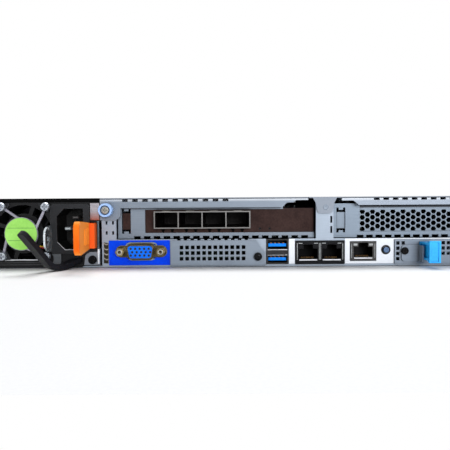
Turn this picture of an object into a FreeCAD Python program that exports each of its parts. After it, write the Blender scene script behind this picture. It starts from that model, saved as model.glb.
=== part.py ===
"""One-unit rack server: millimetres, +Z up, the rear face towards -Y, origin under the middle of the chassis."""

import FreeCAD
import Part
import math
import os

# Overall sizes and clearances
WIDTH = 434.0
HEIGHT = 43.0
DEPTH = 720.0
SHEET = 1.0
COVER_SHEET = 0.6
BEND = 1.2
FIT = 0.3
RUN = 0.05

# Power supply bays
PSU_WIDTH = 73.5
PSU_HEIGHT = 39.3
PSU_LENGTH = 185.0
PSU_WALL = 1.2
CASE_VENTS = 5
CASE_VENT_PITCH = 11.0
CASE_VENT_RISE = 10.0
CASE_VENT_WIDTH = 8.0
CASE_VENT_HEIGHT = 6.0
BAY_GAP = 0.8
BAY_RIB_HEIGHT = 3.0
PSU_FAN_X = 25.6
PSU_FAN_RISE = 0.4
PSU_FACE_DEPTH = 30.0
INLET_X = 55.0
INLET_RISE = 3.2
INLET_WIDTH = 24.2
INLET_HEIGHT = 30.6
INLET_FLANGE = 1.2
INLET_ROUND = 2.0
INLET_DEPTH = 21.0
SOCKET_WIDTH = 16.4
SOCKET_HEIGHT = 25.2
SOCKET_DEPTH = 18.0
SOCKET_CHAMFER = 4.6
PIN_WIDTH = 4.0
PIN_HEIGHT = 2.0
PIN_LENGTH = 16.0
PIN_SPREAD = 7.0
PIN_OFFSET = 2.5
PIN_POINT = 0.5
EDGE_TONGUE_WIDTH = 40.0
EDGE_TONGUE_LENGTH = 9.0
LUG_REACH = 7.5
LUG_HEIGHT = 16.0
LUG_DROP = 2.6
LUG_SHEET = 1.2
LUG_LEAN = 1.8
LUG_EYE = 1.4
FACE_BAR_REACH = 1.3
FACE_BAR_WIDTH = 42.0
FACE_BAR_HEIGHT = 2.9
FACE_LIP_WIDTH = 62.0
FACE_LIP_HEIGHT = 0.7

# Blank of the second power supply bay
BLANK_LIP_WIDTH = 28.0
BLANK_LIP_REACH = 9.0
BLANK_LIP_RISE = 3.0
BLANK_LIP_ROUND = 4.0

# Release latch of the power supply
LATCH_RISE = 18.7
LATCH_HEIGHT = 15.5
LATCH_FLARE = 19.7
LATCH_THICK = 3.2
LATCH_ROOT_THICK = 2.2
LATCH_LAP = 0.6
LATCH_LEAN = 1.8
LATCH_REACH = 30.0
LATCH_ROUND = 4.0
LATCH_RIBS = 3
LATCH_RIB_PITCH = 4.0
LATCH_RIB_WIDTH = 1.6
LATCH_RIB_MARGIN = 3.0
LATCH_INSET = 2.4
LATCH_BASE = 3.8
LATCH_PIVOT_DEPTH = 14.0
LATCH_PIN_R = 1.5
LATCH_KNUCKLE_R = 1.9
LATCH_SWING = 4.0
LATCH_BARB = 0.3
BARB_MARGIN = 4.0
BARB_SPAN = (2.0, 4.0, 8.0)

# Cord strap, a stiff flat moulding
STRAP_WIDTH = 6.4
STRAP_THICK = 2.8
STRAP_ROOT_X = 58.4
STRAP_SLANT = 0.62
STRAP_BEND = 12.0
STRAP_ROUTE = ((-6.0, 6.2), (17.5, -0.1), (38.8, 24.0))

# Fans
FAN_BORE_R = 17.9
FAN_TIP_GAP = 0.6
FAN_HUB_R = 12.4
HUB_SIDES = 14
FAN_STRUT = 2.2
STRUT_TURN = 20.0
FAN_STATOR_SET = 1.0
FAN_STATOR = 4.0
FAN_SHAFT_R = 1.5
PSU_FAN_BLADES = 7
SYSTEM_FAN_BLADES = 5
FAN_BLADE_THICK = 1.1
FAN_BLADE_PITCH = 38.0
PSU_ROTOR_LENGTH = 18.0
GUARD_WIRE_R = 0.7
GUARD_RING_R = 9.6
GUARD_STANDOFF = 2.6
GUARD_SPAN_X = 27.2
GUARD_SPAN_Z = 30.4
GUARD_SET_X = 1.0
GUARD_SET_Z = 1.3
GUARD_TURN = 28.0
GUARD_EYE_R = 1.9
GUARD_SCREW_R = 1.1
EYE_SIDES = 8
RING_SIDES = 24
BUTTON_SIDES = 18
SYSTEM_FANS = 4
SYSTEM_FAN_SIZE = 40.0
SYSTEM_FAN_LENGTH = 56.0
SYSTEM_ROTOR_LENGTH = 30.0
FAN_FRONT_GAP = 33.0
BRACKET_FOOT = 14.0

# Rear wall and the row of connectors, from left to right
IO_HEIGHT = 17.2
LEFT_POST = 8.0
CENTRE_POST = 10.9
RIGHT_POST = 14.9
WALL_MARGIN = 3.3
WALL_SLOT = 1.2
WALL_SLOTS = 5
WALL_SLOT_PITCH = 2.7
WALL_SLOT_HEIGHT = 1.9
WALL_SLOT_RISE = 9.0
POST_SLOT_DROP = 2.5
PANEL_GAP = 0.5
VGA_PLATE_WIDTH = 37.8
VGA_SET = 20.2
VGA_Z = 9.85
VGA_WIDTH = 16.9
VGA_HEIGHT = 8.6
VGA_SLANT = 10.0
VGA_WALL = 0.5
VGA_REACH = 6.0
VGA_FLANGE_WIDTH = 31.4
VGA_FLANGE_HEIGHT = 7.0
VGA_SKIRT = 0.9
VGA_FLANGE = 1.0
VGA_ROUND = 2.2
VGA_INSERT_SET = 0.6
JACKSCREW_SPAN = 24.99
JACKSCREW_FLATS = 4.8
JACKSCREW_REACH = 5.0
JACKSCREW_BORE_R = 1.3
FILLER_WIDTH = 59.2
FILLER_BOTTOM = 0.9
FILLER_TOP = 16.4
FILLER_STEP_WIDTH = 6.2
FILLER_STEP_DROP = 5.0
FILLER_LAP = 3.0
VENT_HOLE = 2.1
VENT_PITCH = 3.5
FILLER_VENT = 2.3
FILLER_VENT_COLUMNS = 12
FILLER_VENT_ROWS = 3
FILLER_VENT_MARGIN = 6.8
FILLER_SCREW_MARGIN = 5.0
FILLER_SCREW_Z = 6.3
SCREW_HEAD_R = 2.5
SCREW_HEAD = 1.6
SCREW_R = 1.4
SCREW_LENGTH = 4.0
USB_WIDTH = 13.3
USB_BOTTOM = 1.6
USB_TOP = 16.9
USB_WALL = 0.6
USB_PORT_HEIGHT = 5.4
TONGUE_HEIGHT = 1.9
TONGUE_MARGIN = 0.5
TONGUE_RISE = 1.4
USB_TO_LAN = 4.6
LAN_WIDTH = 30.3
LAN_BOTTOM = 1.4
LAN_TOP = 15.6
LAN_TO_MANAGEMENT = 3.8
MANAGEMENT_WIDTH = 15.8
MANAGEMENT_BOTTOM = 3.3
MANAGEMENT_TOP = 15.0
JACK_PORT_WIDTH = 11.9
LAN_PORT_RISE = 3.2
MANAGEMENT_PORT_RISE = 2.2
JACK_PORT_HEIGHT = 6.4
JACK_KEY_WIDTH = 6.2
JACK_KEY_HEIGHT = 2.6
JACK_DEPTH = 18.0
JACK_PORT_DEPTH = 13.5
JACK_PROUD = 0.6
MANAGEMENT_TO_BUTTON = 6.2
BUTTON_TO_MODULE = 5.3
UID_R = 1.7
UID_HOLE_R = 2.6
UID_Z = 9.95
UID_TRAVEL = 0.8
UID_LENGTH = 10.0
UID_COLLAR = 1.2
UID_SWITCH = 6.0
UID_SWITCH_LENGTH = 8.0
MODULE_BOTTOM = 1.2
MODULE_TOP = 16.2
MODULE_MARGIN = 12.0
MODULE_LAP = 0.6
MODULE_BOARD_DEPTH = 82.0
MODULE_BOARD_Z = 8.0
MODULE_ARM_X = 4.0
MODULE_ARM_WIDTH = 11.2
MODULE_ARM_BOTTOM = 2.9
MODULE_ARM_TOP = 12.9
MODULE_ARM_ROUND = 2.0
MODULE_VENT_MARGIN = 30.0
MODULE_VENT_COLUMNS = 6
MODULE_VENT_ROWS = 4
MODULE_VENT_PITCH = 3.25
MODULE_VENT_TOP = 14.1
GRIP_WIDTH = 6.8
GRIP_REACH = 15.0
GRIP_BACK_HEIGHT = 10.6
GRIP_FRONT_HEIGHT = 13.6
GRIP_Z = 9.8
GRIP_ROUND = 0.5
GRIP_WALL = 1.2

# Riser cages, their brackets and cards
CAGE_STRIP_BOTTOM = 36.8
RIGHT_STRIP_BOTTOM = 37.8
CAGE_RECESS = 4.0
CAGE_LENGTH = 165.0
CAGE_EAR_WIDTH = 12.7
CAGE_EAR_BOTTOM = 29.4
CAGE_EAR_LAP = 1.7
CAGE_EAR_ROUND = 4.0
CAGE_VENTS = 11
CAGE_VENT_PITCH = 6.21
RIGHT_VENT_PITCH = 5.85
CAGE_VENT_WIDTH = 3.5
CAGE_VENT_DROP = 1.5
RIGHT_VENT_DROP = 1.25
CAGE_VENT_DEPTH = 8.0
CAGE_VENT_MARGIN = 15.5
RIGHT_VENT_MARGIN = 21.5
LEFT_STEPS = ((16.0, 0.0), (13.0, 0.65), (9.2, 0.65), (7.3, 1.0), (-1.0, 1.0))
RIGHT_STEPS = ((10.7, 0.0), (7.2, 0.85), (-1.0, 0.85))
CAGE_NOTCH_PITCH = 6.19
RIGHT_NOTCH_PITCH = 5.9
CAGE_NOTCH_MARGIN = 4.0
RIGHT_NOTCH_MARGIN = 9.4
CAGE_NOTCH_WIDTH = 4.2
CAGE_NOTCH_HEIGHT = 1.5
TAIL_WINDOW_MARGIN = 2.4
TAIL_WINDOW_WIDTH = 5.6
TAIL_WINDOW_BOTTOM = 20.6
TAIL_WINDOW_TOP = 36.2
WINDOW_GAP = 9.0
WINDOW_END = 0.6
WINDOW_BOTTOM = 21.0
WINDOW_TOP = 35.6
BRACKET_TAIL_HEIGHT = 10.2
BRACKET_HEIGHT = 15.6
TONGUE_GAP = 0.5
THUMBSCREW_Z = 35.6
THUMBSCREW_R = 4.2
THUMBSCREW_REACH = 5.0
THUMBSCREW_SHANK_R = 1.5
THUMBSCREW_RIM = 1.2
THUMBSCREW_CUP = 2.0
THUMBSCREW_CORE_R = 2.4
THUMBSCREW_SET = 0.6
RISER_BOARD = 1.6
RISER_BOARD_LENGTH = 100.0
RISER_BOARD_SET = 45.0
SLOT_CONNECTOR = 7.5
SLOT_CONNECTOR_HEIGHT = 7.0
CARD_Z = 22.3
CARD_THICK = 1.6
CARD_LENGTH = 150.0
CARD_WIDTH = 98.0
SFP_PORTS = 4
SFP_PORT_WIDTH = 14.0
SFP_PORT_HEIGHT = 9.3
SFP_WALL = 0.7
SFP_DEPTH = 48.0
SFP_PROUD = 2.5
SFP_MARGIN = 5.75
LIGHT_PIPE = 1.6
LIGHT_HOLE_SET = 9.4
LIGHT_HOLE_PITCH = 6.1
LIGHT_HOLE_DROP = 0.6
HONEYCOMB_PITCH = 3.7
HONEYCOMB_HOLE = 3.0
HONEYCOMB_RIM = 0.7
HONEYCOMB_SET = 1.7
HONEYCOMB_SPAN = (21.4, 34.7)
HONEYCOMB_DROP = 1.15

# System board and what stands on it
BOARD_Z = 4.0
BOARD_THICK = 1.6
BOARD_SET = 14.0
BOARD_EDGE = 3.0
BOARD_SHARE = 46 / 71
STANDOFF_R = 3.0
STANDOFF_ROWS = (39.0, 120.0, 215.0, 320.0)
STANDOFF_FRONT = 10.0
STANDOFF_EDGE = 14.0
CPU_SET = 32.0
CPU_SPREAD = 106.0
CPU_WIDTH = 78.0
CPU_LENGTH = 58.0
CPU_HEIGHT = 4.0
SINK_WIDTH = 94.0
SINK_LENGTH = 90.0
SINK_BASE = 4.0
SINK_TOP = 37.5
SINK_FINS = 10
SINK_FIN = 0.8
DIMM_LENGTH = 133.4
DIMM_HEIGHT = 31.25
DIMM_THICK = 1.3
DIMM_PITCH = 9.2
DIMMS_PER_SIDE = 4
DIMM_SOCKET_LENGTH = 142.0
DIMM_SOCKET_WIDTH = 6.4
DIMM_SOCKET_HEIGHT = 9.0
DIMM_SEAT = 2.4
MEMORY_SHARE = 57 / 199
PSU_SOCKET_WIDTH = 50.0
PSU_SOCKET_LENGTH = 14.0
PSU_SOCKET_HEIGHT = 15.0

# Drive bays at the front
DRIVE_BAYS = 4
BAY_LENGTH = 170.0
SHELF_Z = 30.6
TRAY_HEIGHT = 28.6
BEZEL_THICK = 9.0
BEZEL_PROUD = 3.0
RAIL_SIDE_GAP = 1.225
DRIVE_HEIGHT = 26.1
DRIVE_LENGTH = 147.0
DRIVE_LID = 1.0
DRIVE_LID_EDGE = 3.5
RAIL_THICK = 1.6
BEZEL_SLOTS = 4
BEZEL_SLOT_WIDTH = 10.0
BEZEL_SLOT_EDGE = 2.0
BEZEL_BEVEL = 1.0
HANDLE_THICK = 4.0
HANDLE_HEIGHT = 17.0
HANDLE_PIN_R = 1.2
HANDLE_KNUCKLE_R = 2.6
HANDLE_END_GAP = 3.0
HANDLE_WINDOW_START = 12.0
HANDLE_WINDOW_END = 24.0
HANDLE_WINDOW_EDGE = 4.0
HANDLE_BEVEL = 1.5
BACKPLANE_THICK = 2.0
AIR_SLOT_WIDTH = 60.0
AIR_SLOT_SPAN = (15.0, 27.0)
DRIVE_PLUG_WIDTH = 40.0
DRIVE_PLUG_SPAN = (4.0, 11.0)
STRIP_SLOTS = 16
STRIP_SLOT_WIDTH = 18.0
STRIP_SLOT_HEIGHT = 5.0

# Rack ears
EAR_REACH = 24.3
EAR_HOLE_SET = 15.55
EAR_EDGE = 0.5
EAR_ROUND = 2.0
RACK_HOLE_RISE = 31.75
RACK_SLOT_R = 3.4
RACK_SLOT_LENGTH = 10.0
EAR_SHEET = 2.0
EAR_FLANGE = 40.0
POWER_R = 4.2
POWER_TRAVEL = 1.0
POWER_LENGTH = 8.0
POWER_COLLAR = 1.2

# Covers
COVER_LIP = 8.0
COVER_TONGUE_HEM = 19.8
COVER_TONGUE_TOP = 15.6
COVER_TONGUE_NECK = 11.8
COVER_TONGUE_END = 8.8
COVER_TONGUE_DROP = 10.2
COVER_TONGUE_ROUND = 2.0
GASKET = 0.8
GASKET_FOLD = 6.4
DISH_WIDTH = 66.0
DISH_LENGTH = 56.0
DISH_DEPTH = 8.0
DISH_GAP = 12.0
COVER_TRAVEL = 12.0
PRESS_REAR = 195.0
PRESS_GAP = 21.0
PRESS_INNER = 20.0
PRESS_EDGE = 17.0
PRESS_DEPTH = 0.4
PRESS_ROUND = 10.0
LEVER_THICK = 4.0
LEVER_PIN_R = 1.5
LEVER_PIVOT_SET = 6.0
LEVER_SIDE_GAP = 2.0
LEVER_ROUND = 5.0
FINGER_SPAN = (6.0, 22.0)

V = FreeCAD.Vector
ALONG_X = V(1, 0, 0)
ALONG_Y = V(0, 1, 0)
ALONG_Z = V(0, 0, 1)

# Places worked out from the sizes
REAR = -DEPTH / 2
FRONT = DEPTH / 2
LEFT_IN = -WIDTH / 2 + SHEET
RIGHT_IN = WIDTH / 2 - SHEET
FLOOR = SHEET
WALL_TOP = HEIGHT - COVER_SHEET
PSU_X0 = LEFT_IN + BAY_GAP + PSU_WIDTH + BAY_GAP
PSU_X1 = PSU_X0 + PSU_WIDTH
PSU_Z0 = FLOOR + FIT
PSU_ZC = PSU_Z0 + PSU_HEIGHT / 2
PSU_FAN_Z = PSU_ZC + PSU_FAN_RISE
BLANK_X0 = LEFT_IN + BAY_GAP
BLANK_X1 = BLANK_X0 + PSU_WIDTH
IO_X0 = PSU_X1 + BAY_GAP + SHEET
SLOT_SPAN = (RIGHT_IN - IO_X0 - LEFT_POST - CENTRE_POST - RIGHT_POST) / 2
LEFT_SLOT_X0 = IO_X0 + LEFT_POST
LEFT_SLOT_X1 = LEFT_SLOT_X0 + SLOT_SPAN
RIGHT_SLOT_X0 = LEFT_SLOT_X1 + CENTRE_POST
RIGHT_SLOT_X1 = RIGHT_SLOT_X0 + SLOT_SPAN
POST_X = (LEFT_SLOT_X1 + RIGHT_SLOT_X0) / 2
CAGE_TOP = WALL_TOP - FIT
POST_TOP = CAGE_TOP - SHEET - FIT
CAGE_FRONT = REAR - SHEET
CAGE_WALL_Y = REAR + CAGE_RECESS
BRACKET_Y = CAGE_WALL_Y + SHEET
BRACKET_Z = (WINDOW_BOTTOM + WINDOW_TOP) / 2
BOARD_TOP = BOARD_Z + BOARD_THICK
VGA_X0 = IO_X0 + WALL_MARGIN
VGA_X = VGA_X0 + VGA_SET
FILLER_X0 = VGA_X0 + VGA_PLATE_WIDTH + PANEL_GAP
FILLER_X1 = FILLER_X0 + FILLER_WIDTH
USB_X0 = FILLER_X1 + PANEL_GAP
LAN_X0 = USB_X0 + USB_WIDTH + USB_TO_LAN
MANAGEMENT_X0 = LAN_X0 + LAN_WIDTH + LAN_TO_MANAGEMENT
UID_X = MANAGEMENT_X0 + MANAGEMENT_WIDTH + MANAGEMENT_TO_BUTTON
MODULE_X0 = UID_X + BUTTON_TO_MODULE
MODULE_X1 = RIGHT_IN - MODULE_MARGIN
FILLER_SCREW_X = FILLER_X1 - FILLER_SCREW_MARGIN
COVER_SPLIT = FRONT - BAY_LENGTH - BACKPLANE_THICK
BAY_PITCH = (RIGHT_IN - LEFT_IN + SHEET) / DRIVE_BAYS
BAY_WIDTH = BAY_PITCH - SHEET
EAR_X = WIDTH / 2 + EAR_HOLE_SET
DRIVE_WIDTH = BAY_WIDTH - 2 * (RAIL_SIDE_GAP + RAIL_THICK)
FAN_PITCH = (RIGHT_IN - LEFT_IN) / SYSTEM_FANS
FAN_Z = FLOOR + SYSTEM_FAN_SIZE / 2
SYSTEM_FAN_REAR = DEPTH - BAY_LENGTH - BACKPLANE_THICK - FAN_FRONT_GAP - BRACKET_FOOT - SYSTEM_FAN_LENGTH
PSU_ZONE = PSU_LENGTH + EDGE_TONGUE_LENGTH / 2 + PSU_SOCKET_LENGTH
DIMM_REAR = PSU_ZONE + MEMORY_SHARE * (SYSTEM_FAN_REAR - PSU_ZONE - DIMM_SOCKET_LENGTH)
DIMM_FRONT = DIMM_REAR + DIMM_SOCKET_LENGTH
CPU_REAR = DIMM_REAR + CPU_SET
BOARD_FRONT = DIMM_FRONT + BOARD_SHARE * (SYSTEM_FAN_REAR - DIMM_FRONT)
DISH_REAR = DIMM_FRONT + DISH_GAP


def block(x0, x1, y0, y1, z0, z1):
    return Part.makeBox(x1 - x0, y1 - y0, z1 - z0, V(x0, y0, z0))


def rod_x(y, z, radius, x0, x1):
    return Part.makeCylinder(radius, x1 - x0, V(x0, y, z), ALONG_X)


def rod_y(x, z, radius, y0, y1):
    return Part.makeCylinder(radius, y1 - y0, V(x, y0, z), ALONG_Y)


def rod_z(x, y, radius, z0, z1):
    return Part.makeCylinder(radius, z1 - z0, V(x, y, z0), ALONG_Z)


def face_of(points):
    return Part.Face(Part.makePolygon(points + points[:1]))


def outline_xz(points, y):
    return face_of([V(x, y, z) for x, z in points])


def rect_xz(x0, x1, z0, z1, y):
    return outline_xz([(x0, z0), (x1, z0), (x1, z1), (x0, z1)], y)


def prism_y(points, y0, y1):
    return outline_xz(points, y0).extrude(V(0, y1 - y0, 0))


def prism_x(points, x0, x1):
    return face_of([V(x0, y, z) for y, z in points]).extrude(V(x1 - x0, 0, 0))


def prism_z(points, z0, z1):
    return face_of([V(x, y, z0) for x, y in points]).extrude(V(0, 0, z1 - z0))


def plate_y(outline, holes, y0, thickness):
    """A plate across Y: a face less its hole faces, made thick along +Y from y0."""
    face = outline.cut(holes) if holes else outline
    return face.extrude(V(0, thickness, 0))


def folded_x(points, thickness, x0, x1):
    """A sheet folded along a YZ polyline, its thickness inside the folds."""
    path = Part.makePolygon([V(x0, y, z) for y, z in points])
    return path.makeOffset2D(-thickness, 0, True, True).extrude(V(x1 - x0, 0, 0))


def rounded(shape, radius, direction, pick=None):
    """The shape with its straight edges along one direction rounded."""
    edges = []
    for edge in shape.Edges:
        ends = edge.Vertexes
        if len(ends) != 2 or edge.Curve.TypeId != "Part::GeomLine":
            continue
        run = ends[1].Point - ends[0].Point
        if abs(run.normalize().dot(direction)) < 0.999:
            continue
        if pick is None or pick(edge.CenterOfMass):
            edges.append(edge)
    return shape.makeFillet(radius, edges)


def joined(shapes):
    return shapes[0].multiFuse(shapes[1:]).removeSplitter() if len(shapes) > 1 else shapes[0]


def spread(count, pitch, centre):
    """Centres of an evenly spaced row about its middle."""
    first = centre - (count - 1) * pitch / 2
    return [first + index * pitch for index in range(count)]


def ring_of(x, z, radius, y, sides):
    """A regular outline with many short sides, standing for a circle."""
    angles = [2 * math.pi * (step + 0.5) / sides for step in range(sides)]
    return outline_xz([(x + radius * math.cos(a), z + radius * math.sin(a)) for a in angles], y)


def many_sided(x, z, radius, y0, y1, sides):
    return ring_of(x, z, radius, y0, sides).extrude(V(0, y1 - y0, 0))


def hexagon(x, z, flats, y):
    """A hexagon with two corners on the X axis, by its width across flats."""
    radius = flats / math.sqrt(3)
    angles = [math.radians(60 * step) for step in range(6)]
    return outline_xz([(x + radius * math.cos(a), z + radius * math.sin(a)) for a in angles], y)


def rear_wall():
    """The comb-shaped rear wall: a low row of connectors and three posts beside the two slots."""
    outline = outline_xz(
        [
            (IO_X0 - SHEET, FLOOR), (RIGHT_IN, FLOOR), (RIGHT_IN, POST_TOP), (RIGHT_SLOT_X1, POST_TOP),
            (RIGHT_SLOT_X1, IO_HEIGHT), (RIGHT_SLOT_X0, IO_HEIGHT), (RIGHT_SLOT_X0, POST_TOP),
            (LEFT_SLOT_X1, POST_TOP), (LEFT_SLOT_X1, IO_HEIGHT), (LEFT_SLOT_X0, IO_HEIGHT),
            (LEFT_SLOT_X0, POST_TOP), (IO_X0 - SHEET, POST_TOP),
        ],
        REAR,
    )
    slot_half = WALL_SLOT / 2
    lan_x1 = LAN_X0 + LAN_WIDTH
    management_x1 = MANAGEMENT_X0 + MANAGEMENT_WIDTH
    half = VGA_WIDTH / 2 + FIT
    holes = [
        rect_xz(VGA_X - half, VGA_X + half, VGA_Z - VGA_HEIGHT / 2 - FIT, VGA_Z + VGA_HEIGHT / 2 + FIT, REAR),
        rect_xz(USB_X0 - FIT, USB_X0 + USB_WIDTH + FIT, USB_BOTTOM - FIT, IO_HEIGHT, REAR),
        rect_xz(LAN_X0 - FIT, lan_x1 + FIT, LAN_BOTTOM - FIT, LAN_TOP + FIT, REAR),
        rect_xz(MANAGEMENT_X0 - FIT, management_x1 + FIT, MANAGEMENT_BOTTOM - FIT, MANAGEMENT_TOP + FIT, REAR),
        rect_xz(FILLER_X0 + FILLER_LAP, FILLER_SCREW_X - SCREW_HEAD_R - FILLER_LAP / 2,
                FILLER_BOTTOM + FILLER_LAP, FILLER_TOP - FILLER_LAP, REAR),
        rect_xz(MODULE_X0 + MODULE_LAP, MODULE_X1 - MODULE_LAP,
                MODULE_BOTTOM + MODULE_LAP, MODULE_TOP - MODULE_LAP, REAR),
        ring_of(UID_X, UID_Z, UID_HOLE_R, REAR, BUTTON_SIDES),
        ring_of(FILLER_SCREW_X, FILLER_SCREW_Z, SCREW_R + FIT, REAR, EYE_SIDES),
        ring_of(thumbscrew_x(-1), THUMBSCREW_Z, THUMBSCREW_SHANK_R + FIT, REAR, EYE_SIDES),
        ring_of(thumbscrew_x(1), THUMBSCREW_Z, THUMBSCREW_SHANK_R + FIT, REAR, EYE_SIDES),
    ]
    for z in spread(WALL_SLOTS, WALL_SLOT_PITCH, WALL_SLOT_RISE):
        x = IO_X0 + WALL_MARGIN / 2
        rise = WALL_SLOT_HEIGHT / 2
        holes.append(rect_xz(x - slot_half, x + slot_half, z - rise, z + rise, REAR))
    for x in spread(2, LEFT_POST / 2, IO_X0 + LEFT_POST / 2):
        for z in spread(2, 3 * VENT_HOLE, IO_HEIGHT + 3.5 * VENT_HOLE):
            holes.append(rect_xz(x - slot_half, x + slot_half, z - VENT_HOLE / 2, z + VENT_HOLE / 2, REAR))
    for z in spread(2, 3 * VENT_HOLE, BRACKET_Z - POST_SLOT_DROP):
        x = RIGHT_SLOT_X0 - CENTRE_POST / 8
        holes.append(rect_xz(x - slot_half, x + slot_half, z - VENT_HOLE, z + VENT_HOLE, REAR))
    for x in spread(11, 2 * VENT_HOLE, FILLER_X0 + FILLER_WIDTH / 2 - VENT_PITCH):
        holes.append(rect_xz(x - VENT_HOLE / 2, x + VENT_HOLE / 2, IO_HEIGHT - VENT_HOLE / 3, IO_HEIGHT, REAR))
    return plate_y(outline, holes, REAR, SHEET)


def board_standoffs():
    """Places of the pillars that carry the system board."""
    places = []
    right = RIGHT_IN - STANDOFF_EDGE
    for row in STANDOFF_ROWS + (BOARD_FRONT - STANDOFF_FRONT,):
        left = (IO_X0 if row < PSU_LENGTH else LEFT_IN) + STANDOFF_EDGE
        for x in (left, (left + right) / 2, right):
            places.append((x, REAR + row))
    return places


def hex_pillar(x, y):
    angles = [math.radians(60 * step) for step in range(6)]
    corners = [(x + STANDOFF_R * math.cos(a), y + STANDOFF_R * math.sin(a)) for a in angles]
    return prism_z(corners, FLOOR, BOARD_Z)


def chassis_tray():
    half = WIDTH / 2
    profile = [
        (-half, 0), (half, 0), (half, WALL_TOP), (RIGHT_IN, WALL_TOP),
        (RIGHT_IN, FLOOR), (LEFT_IN, FLOOR), (LEFT_IN, WALL_TOP), (-half, WALL_TOP),
    ]
    shell = rounded(prism_y(profile, REAR, FRONT), BEND, ALONG_Y, lambda c: c.z < SHEET / 2)
    divider = block(IO_X0 - SHEET, IO_X0, REAR, REAR + PSU_LENGTH, FLOOR, POST_TOP)
    rib_x = (BLANK_X1 + PSU_X0) / 2
    rib = block(rib_x - BAY_GAP / 4, rib_x + BAY_GAP / 4, REAR + PSU_FACE_DEPTH, REAR + PSU_LENGTH,
                FLOOR, FLOOR + BAY_RIB_HEIGHT)
    pillars = [hex_pillar(x, y) for x, y in board_standoffs()]
    return joined([shell, rear_wall(), divider, rib] + pillars)


def thumbscrew_x(side):
    """The thumbscrew stands on the ear at the outer end of a riser cage: -1 left, 1 right."""
    if side < 0:
        return IO_X0 - CAGE_EAR_LAP + THUMBSCREW_R
    return RIGHT_IN - THUMBSCREW_R - FIT


def strip_bottom(side):
    return CAGE_STRIP_BOTTOM if side < 0 else RIGHT_STRIP_BOTTOM


def strip_span(side):
    """The front strip of a riser cage, from its ear to the cover tongue: -1 left, 1 right."""
    tongue_half = COVER_TONGUE_HEM / 2 + TONGUE_GAP
    if side < 0:
        return IO_X0 - CAGE_EAR_LAP, POST_X - tongue_half
    return POST_X + tongue_half, RIGHT_IN - FIT


def vent_centres(side):
    """The vents along the top bend of a riser cage."""
    margin, pitch = (CAGE_VENT_MARGIN, CAGE_VENT_PITCH) if side < 0 else (RIGHT_VENT_MARGIN, RIGHT_VENT_PITCH)
    first = strip_span(side)[0] + margin
    return [first + index * pitch for index in range(CAGE_VENTS)]


def cage_wall(side, wall_x0, wall_x1):
    """The set-back wall of a riser cage: a small window, a long one and a row of notches below."""
    wall_z0 = IO_HEIGHT + FIT
    outline = rect_xz(wall_x0, wall_x1, wall_z0, strip_bottom(side) + SHEET, CAGE_WALL_Y)
    tail_x0 = wall_x0 + TAIL_WINDOW_MARGIN
    tail_x1 = tail_x0 + TAIL_WINDOW_WIDTH
    tab = TAIL_WINDOW_WIDTH / 4
    mid = (tail_x0 + tail_x1) / 2
    low = TAIL_WINDOW_BOTTOM
    high = TAIL_WINDOW_TOP
    tail = outline_xz(
        [
            (tail_x0, low), (mid - tab, low), (mid - tab, low + tab), (mid + tab, low + tab), (mid + tab, low),
            (tail_x1, low), (tail_x1, high), (mid + tab, high), (mid + tab, high - tab), (mid - tab, high - tab),
            (mid - tab, high), (tail_x0, high),
        ],
        CAGE_WALL_Y,
    )
    if side < 0:
        window = rect_xz(tail_x1 + WINDOW_GAP, wall_x1 + FIT, WINDOW_BOTTOM, WINDOW_TOP, CAGE_WALL_Y)
    else:
        window = rect_xz(tail_x1 + WINDOW_GAP, wall_x1 - WINDOW_END, WINDOW_BOTTOM, strip_bottom(side), CAGE_WALL_Y)
    holes = [tail, window]
    margin, pitch = (CAGE_NOTCH_MARGIN, CAGE_NOTCH_PITCH) if side < 0 else (RIGHT_NOTCH_MARGIN, RIGHT_NOTCH_PITCH)
    half = CAGE_NOTCH_WIDTH / 2
    notches = int((wall_x1 - tail_x1 - margin - half - SHEET) / pitch) + 1
    for x in [tail_x1 + margin + index * pitch for index in range(notches)]:
        holes.append(rect_xz(x - half, x + half, wall_z0, wall_z0 + CAGE_NOTCH_HEIGHT, CAGE_WALL_Y))
    return plate_y(outline, holes, CAGE_WALL_Y, SHEET)


def cage_ear(side):
    """The ear at the outer end of a riser cage, with one rounded corner."""
    strip_x0, strip_x1 = strip_span(side)
    x0 = strip_x0 if side < 0 else strip_x1 - CAGE_EAR_WIDTH
    inner = x0 + CAGE_EAR_WIDTH if side < 0 else x0
    ear = block(x0, x0 + CAGE_EAR_WIDTH, CAGE_FRONT, REAR, CAGE_EAR_BOTTOM, strip_bottom(side) + SHEET)
    return rounded(ear, CAGE_EAR_ROUND, ALONG_Y,
                   lambda c: c.z < CAGE_EAR_BOTTOM + FIT and abs(c.x - inner) < FIT)


def riser_cage(side):
    """A riser cage: a folded sheet with a vented top strip, a set-back wall with windows, and a side plate."""
    wall_x0 = (LEFT_SLOT_X0 if side < 0 else RIGHT_SLOT_X0) + FIT
    wall_x1 = (LEFT_SLOT_X1 if side < 0 else RIGHT_SLOT_X1) - FIT
    strip_x0, strip_x1 = strip_span(side)
    low = strip_bottom(side)
    strip = folded_x([(REAR + CAGE_LENGTH, CAGE_TOP), (CAGE_FRONT, CAGE_TOP), (CAGE_FRONT, low)],
                     SHEET, strip_x0, strip_x1)
    jog = block(max(wall_x0, strip_x0), min(wall_x1, strip_x1), CAGE_FRONT, CAGE_WALL_Y + SHEET, low, low + SHEET)
    side_x0 = wall_x0 + FIT
    side_plate = block(side_x0, side_x0 + SHEET, CAGE_WALL_Y + SHEET / 2, REAR + CAGE_LENGTH,
                       IO_HEIGHT + FIT, CAGE_TOP - SHEET / 2)
    solid = joined([strip, jog, cage_wall(side, wall_x0, wall_x1), side_plate, cage_ear(side)])
    return solid.cut(cage_cuts(side))


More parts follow.
